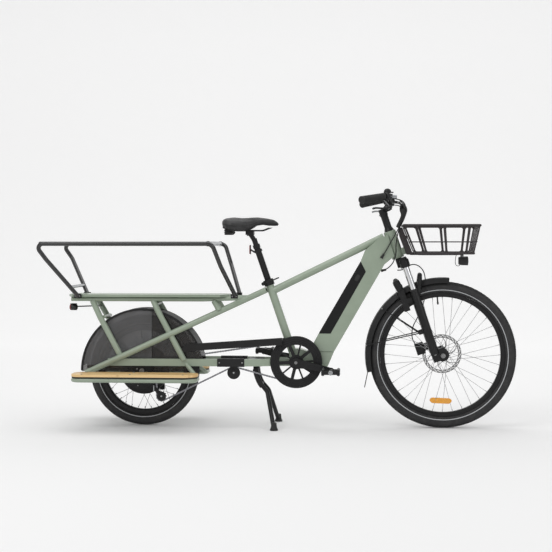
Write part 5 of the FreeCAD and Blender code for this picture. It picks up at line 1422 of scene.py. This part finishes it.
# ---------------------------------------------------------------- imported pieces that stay

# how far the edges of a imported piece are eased, in mm
EASED = {
    "down_tube": 2.5, "battery": 2.0, "bottom_bracket_shell": 3.0, "lower_stays": 2.5, "head_tube": 0.8,
    "rack_platform": 1.2, "frame_covers": 2.0, "frame_brackets": 1.2, "crank_arms": 2.5, "chainring": 0.5,
    "right_pedal": 1.5, "left_pedal": 1.5, "fork_crown": 2.0, "fork_lowers": 1.5, "ring_lock": 2.0,
    "front_caliper": 1.5, "rear_caliper": 1.5, "stem": 1.0, "seatpost": 0.8, "derailleur": 0.6,
    "rear_light": 0.6, "seat_clamp": 0.5, "front_rim": 0.5, "rear_rim": 0.5, "hub_motor": 0.8,
}
slots = {part["node"]: part["material_slot"] for part in frame["record"]["subparts"]}
for name, obj in frame["nodes"].items():
    finish = FINISHES[slots[name]].material
    if not obj.material_slots:
        obj.data.materials.append(finish)
    for place in obj.material_slots:
        place.material = finish
    if name in EASED and not obj.hide_render:
        weld = obj.modifiers.new("weld", "WELD")
        weld.merge_threshold = 0.02 * MM
        ease(obj, EASED[name], 40)


# ---------------------------------------------------------------- floor, light and camera

# the floor runs back to a bend of this radius and up from there, in metres
FLOOR_FRONT, FLOOR_BACK, BEND, WALL_TOP, HALF_WIDTH = -9, 4.5, 3, 9, 14
sweep = [(FLOOR_FRONT, 0), (FLOOR_BACK, 0)]
for step in range(1, 13):
    turn = math.radians(step * 7.5)
    sweep.append((FLOOR_BACK + BEND * math.sin(turn), BEND - BEND * math.cos(turn)))
sweep.append((FLOOR_BACK + BEND, WALL_TOP))
mesh = bpy.data.meshes.new("studio_sweep")
vertices = [(x, y, z) for y, z in sweep for x in (-HALF_WIDTH, HALF_WIDTH)]
faces = [(2 * i, 2 * i + 1, 2 * i + 3, 2 * i + 2) for i in range(len(sweep) - 1)]
mesh.from_pydata(vertices, [], faces)
mesh.shade_smooth()
paper = Finish("studio_paper", "#ececec", 0.9)
paper.rough(paper.noise(3), 0.85, 0.95)
depth = paper.node("ShaderNodeSeparateXYZ", {0: paper.place}).outputs["Y"]
glow = paper.spread(depth, -0.6, FLOOR_BACK, 0.0, 0.25)
paper.shader.inputs["Emission Color"].default_value = (1.0, 1.0, 1.0, 1.0)
paper.tree.links.new(glow, paper.shader.inputs["Emission Strength"])
mesh.materials.append(paper.material)
studio = bpy.data.objects.new("studio_sweep", mesh)
bpy.context.scene.collection.objects.link(studio)

world = bpy.data.worlds.new("studio")
bpy.context.scene.world = world
world.use_nodes = True
sky = world.node_tree.nodes["Background"]
sky.inputs["Color"].default_value = (1.0, 1.0, 1.0, 1.0)
sky.inputs["Strength"].default_value = 0.62


def softbox(name, place, target, width, height, power):
    """A rectangular area light that faces its target."""
    light = bpy.data.lights.new(name, "AREA")
    light.shape = "RECTANGLE"
    light.size, light.size_y = width, height
    light.energy = power
    obj = bpy.data.objects.new(name, light)
    obj.location = place
    obj.rotation_euler = (Vector(target) - Vector(place)).to_track_quat("-Z", "Y").to_euler()
    bpy.context.scene.collection.objects.link(obj)


softbox("key_light", (-2.2, -3.4, 4.2), (0, 0, 0.4), 3.0, 3.0, 75)
softbox("fill_light", (3.6, -3.2, 2.6), (0, 0, 0.5), 2.4, 2.4, 30)
softbox("top_light", (0, 0.6, 4.6), (0, 0, 0), 4.0, 3.0, 60)

camera = bpy.data.cameras.new("camera")
camera.sensor_width = 36
camera.lens = 81.3
camera.shift_y = -0.058
view = bpy.data.objects.new("camera", camera)
view.location = (0.4046, -5.7844, 0.846)
view.rotation_euler = (math.radians(90), 0, math.radians(4.2))
bpy.context.scene.collection.objects.link(view)
bpy.context.scene.camera = view
bpy.context.scene.view_settings.view_transform = "Standard"
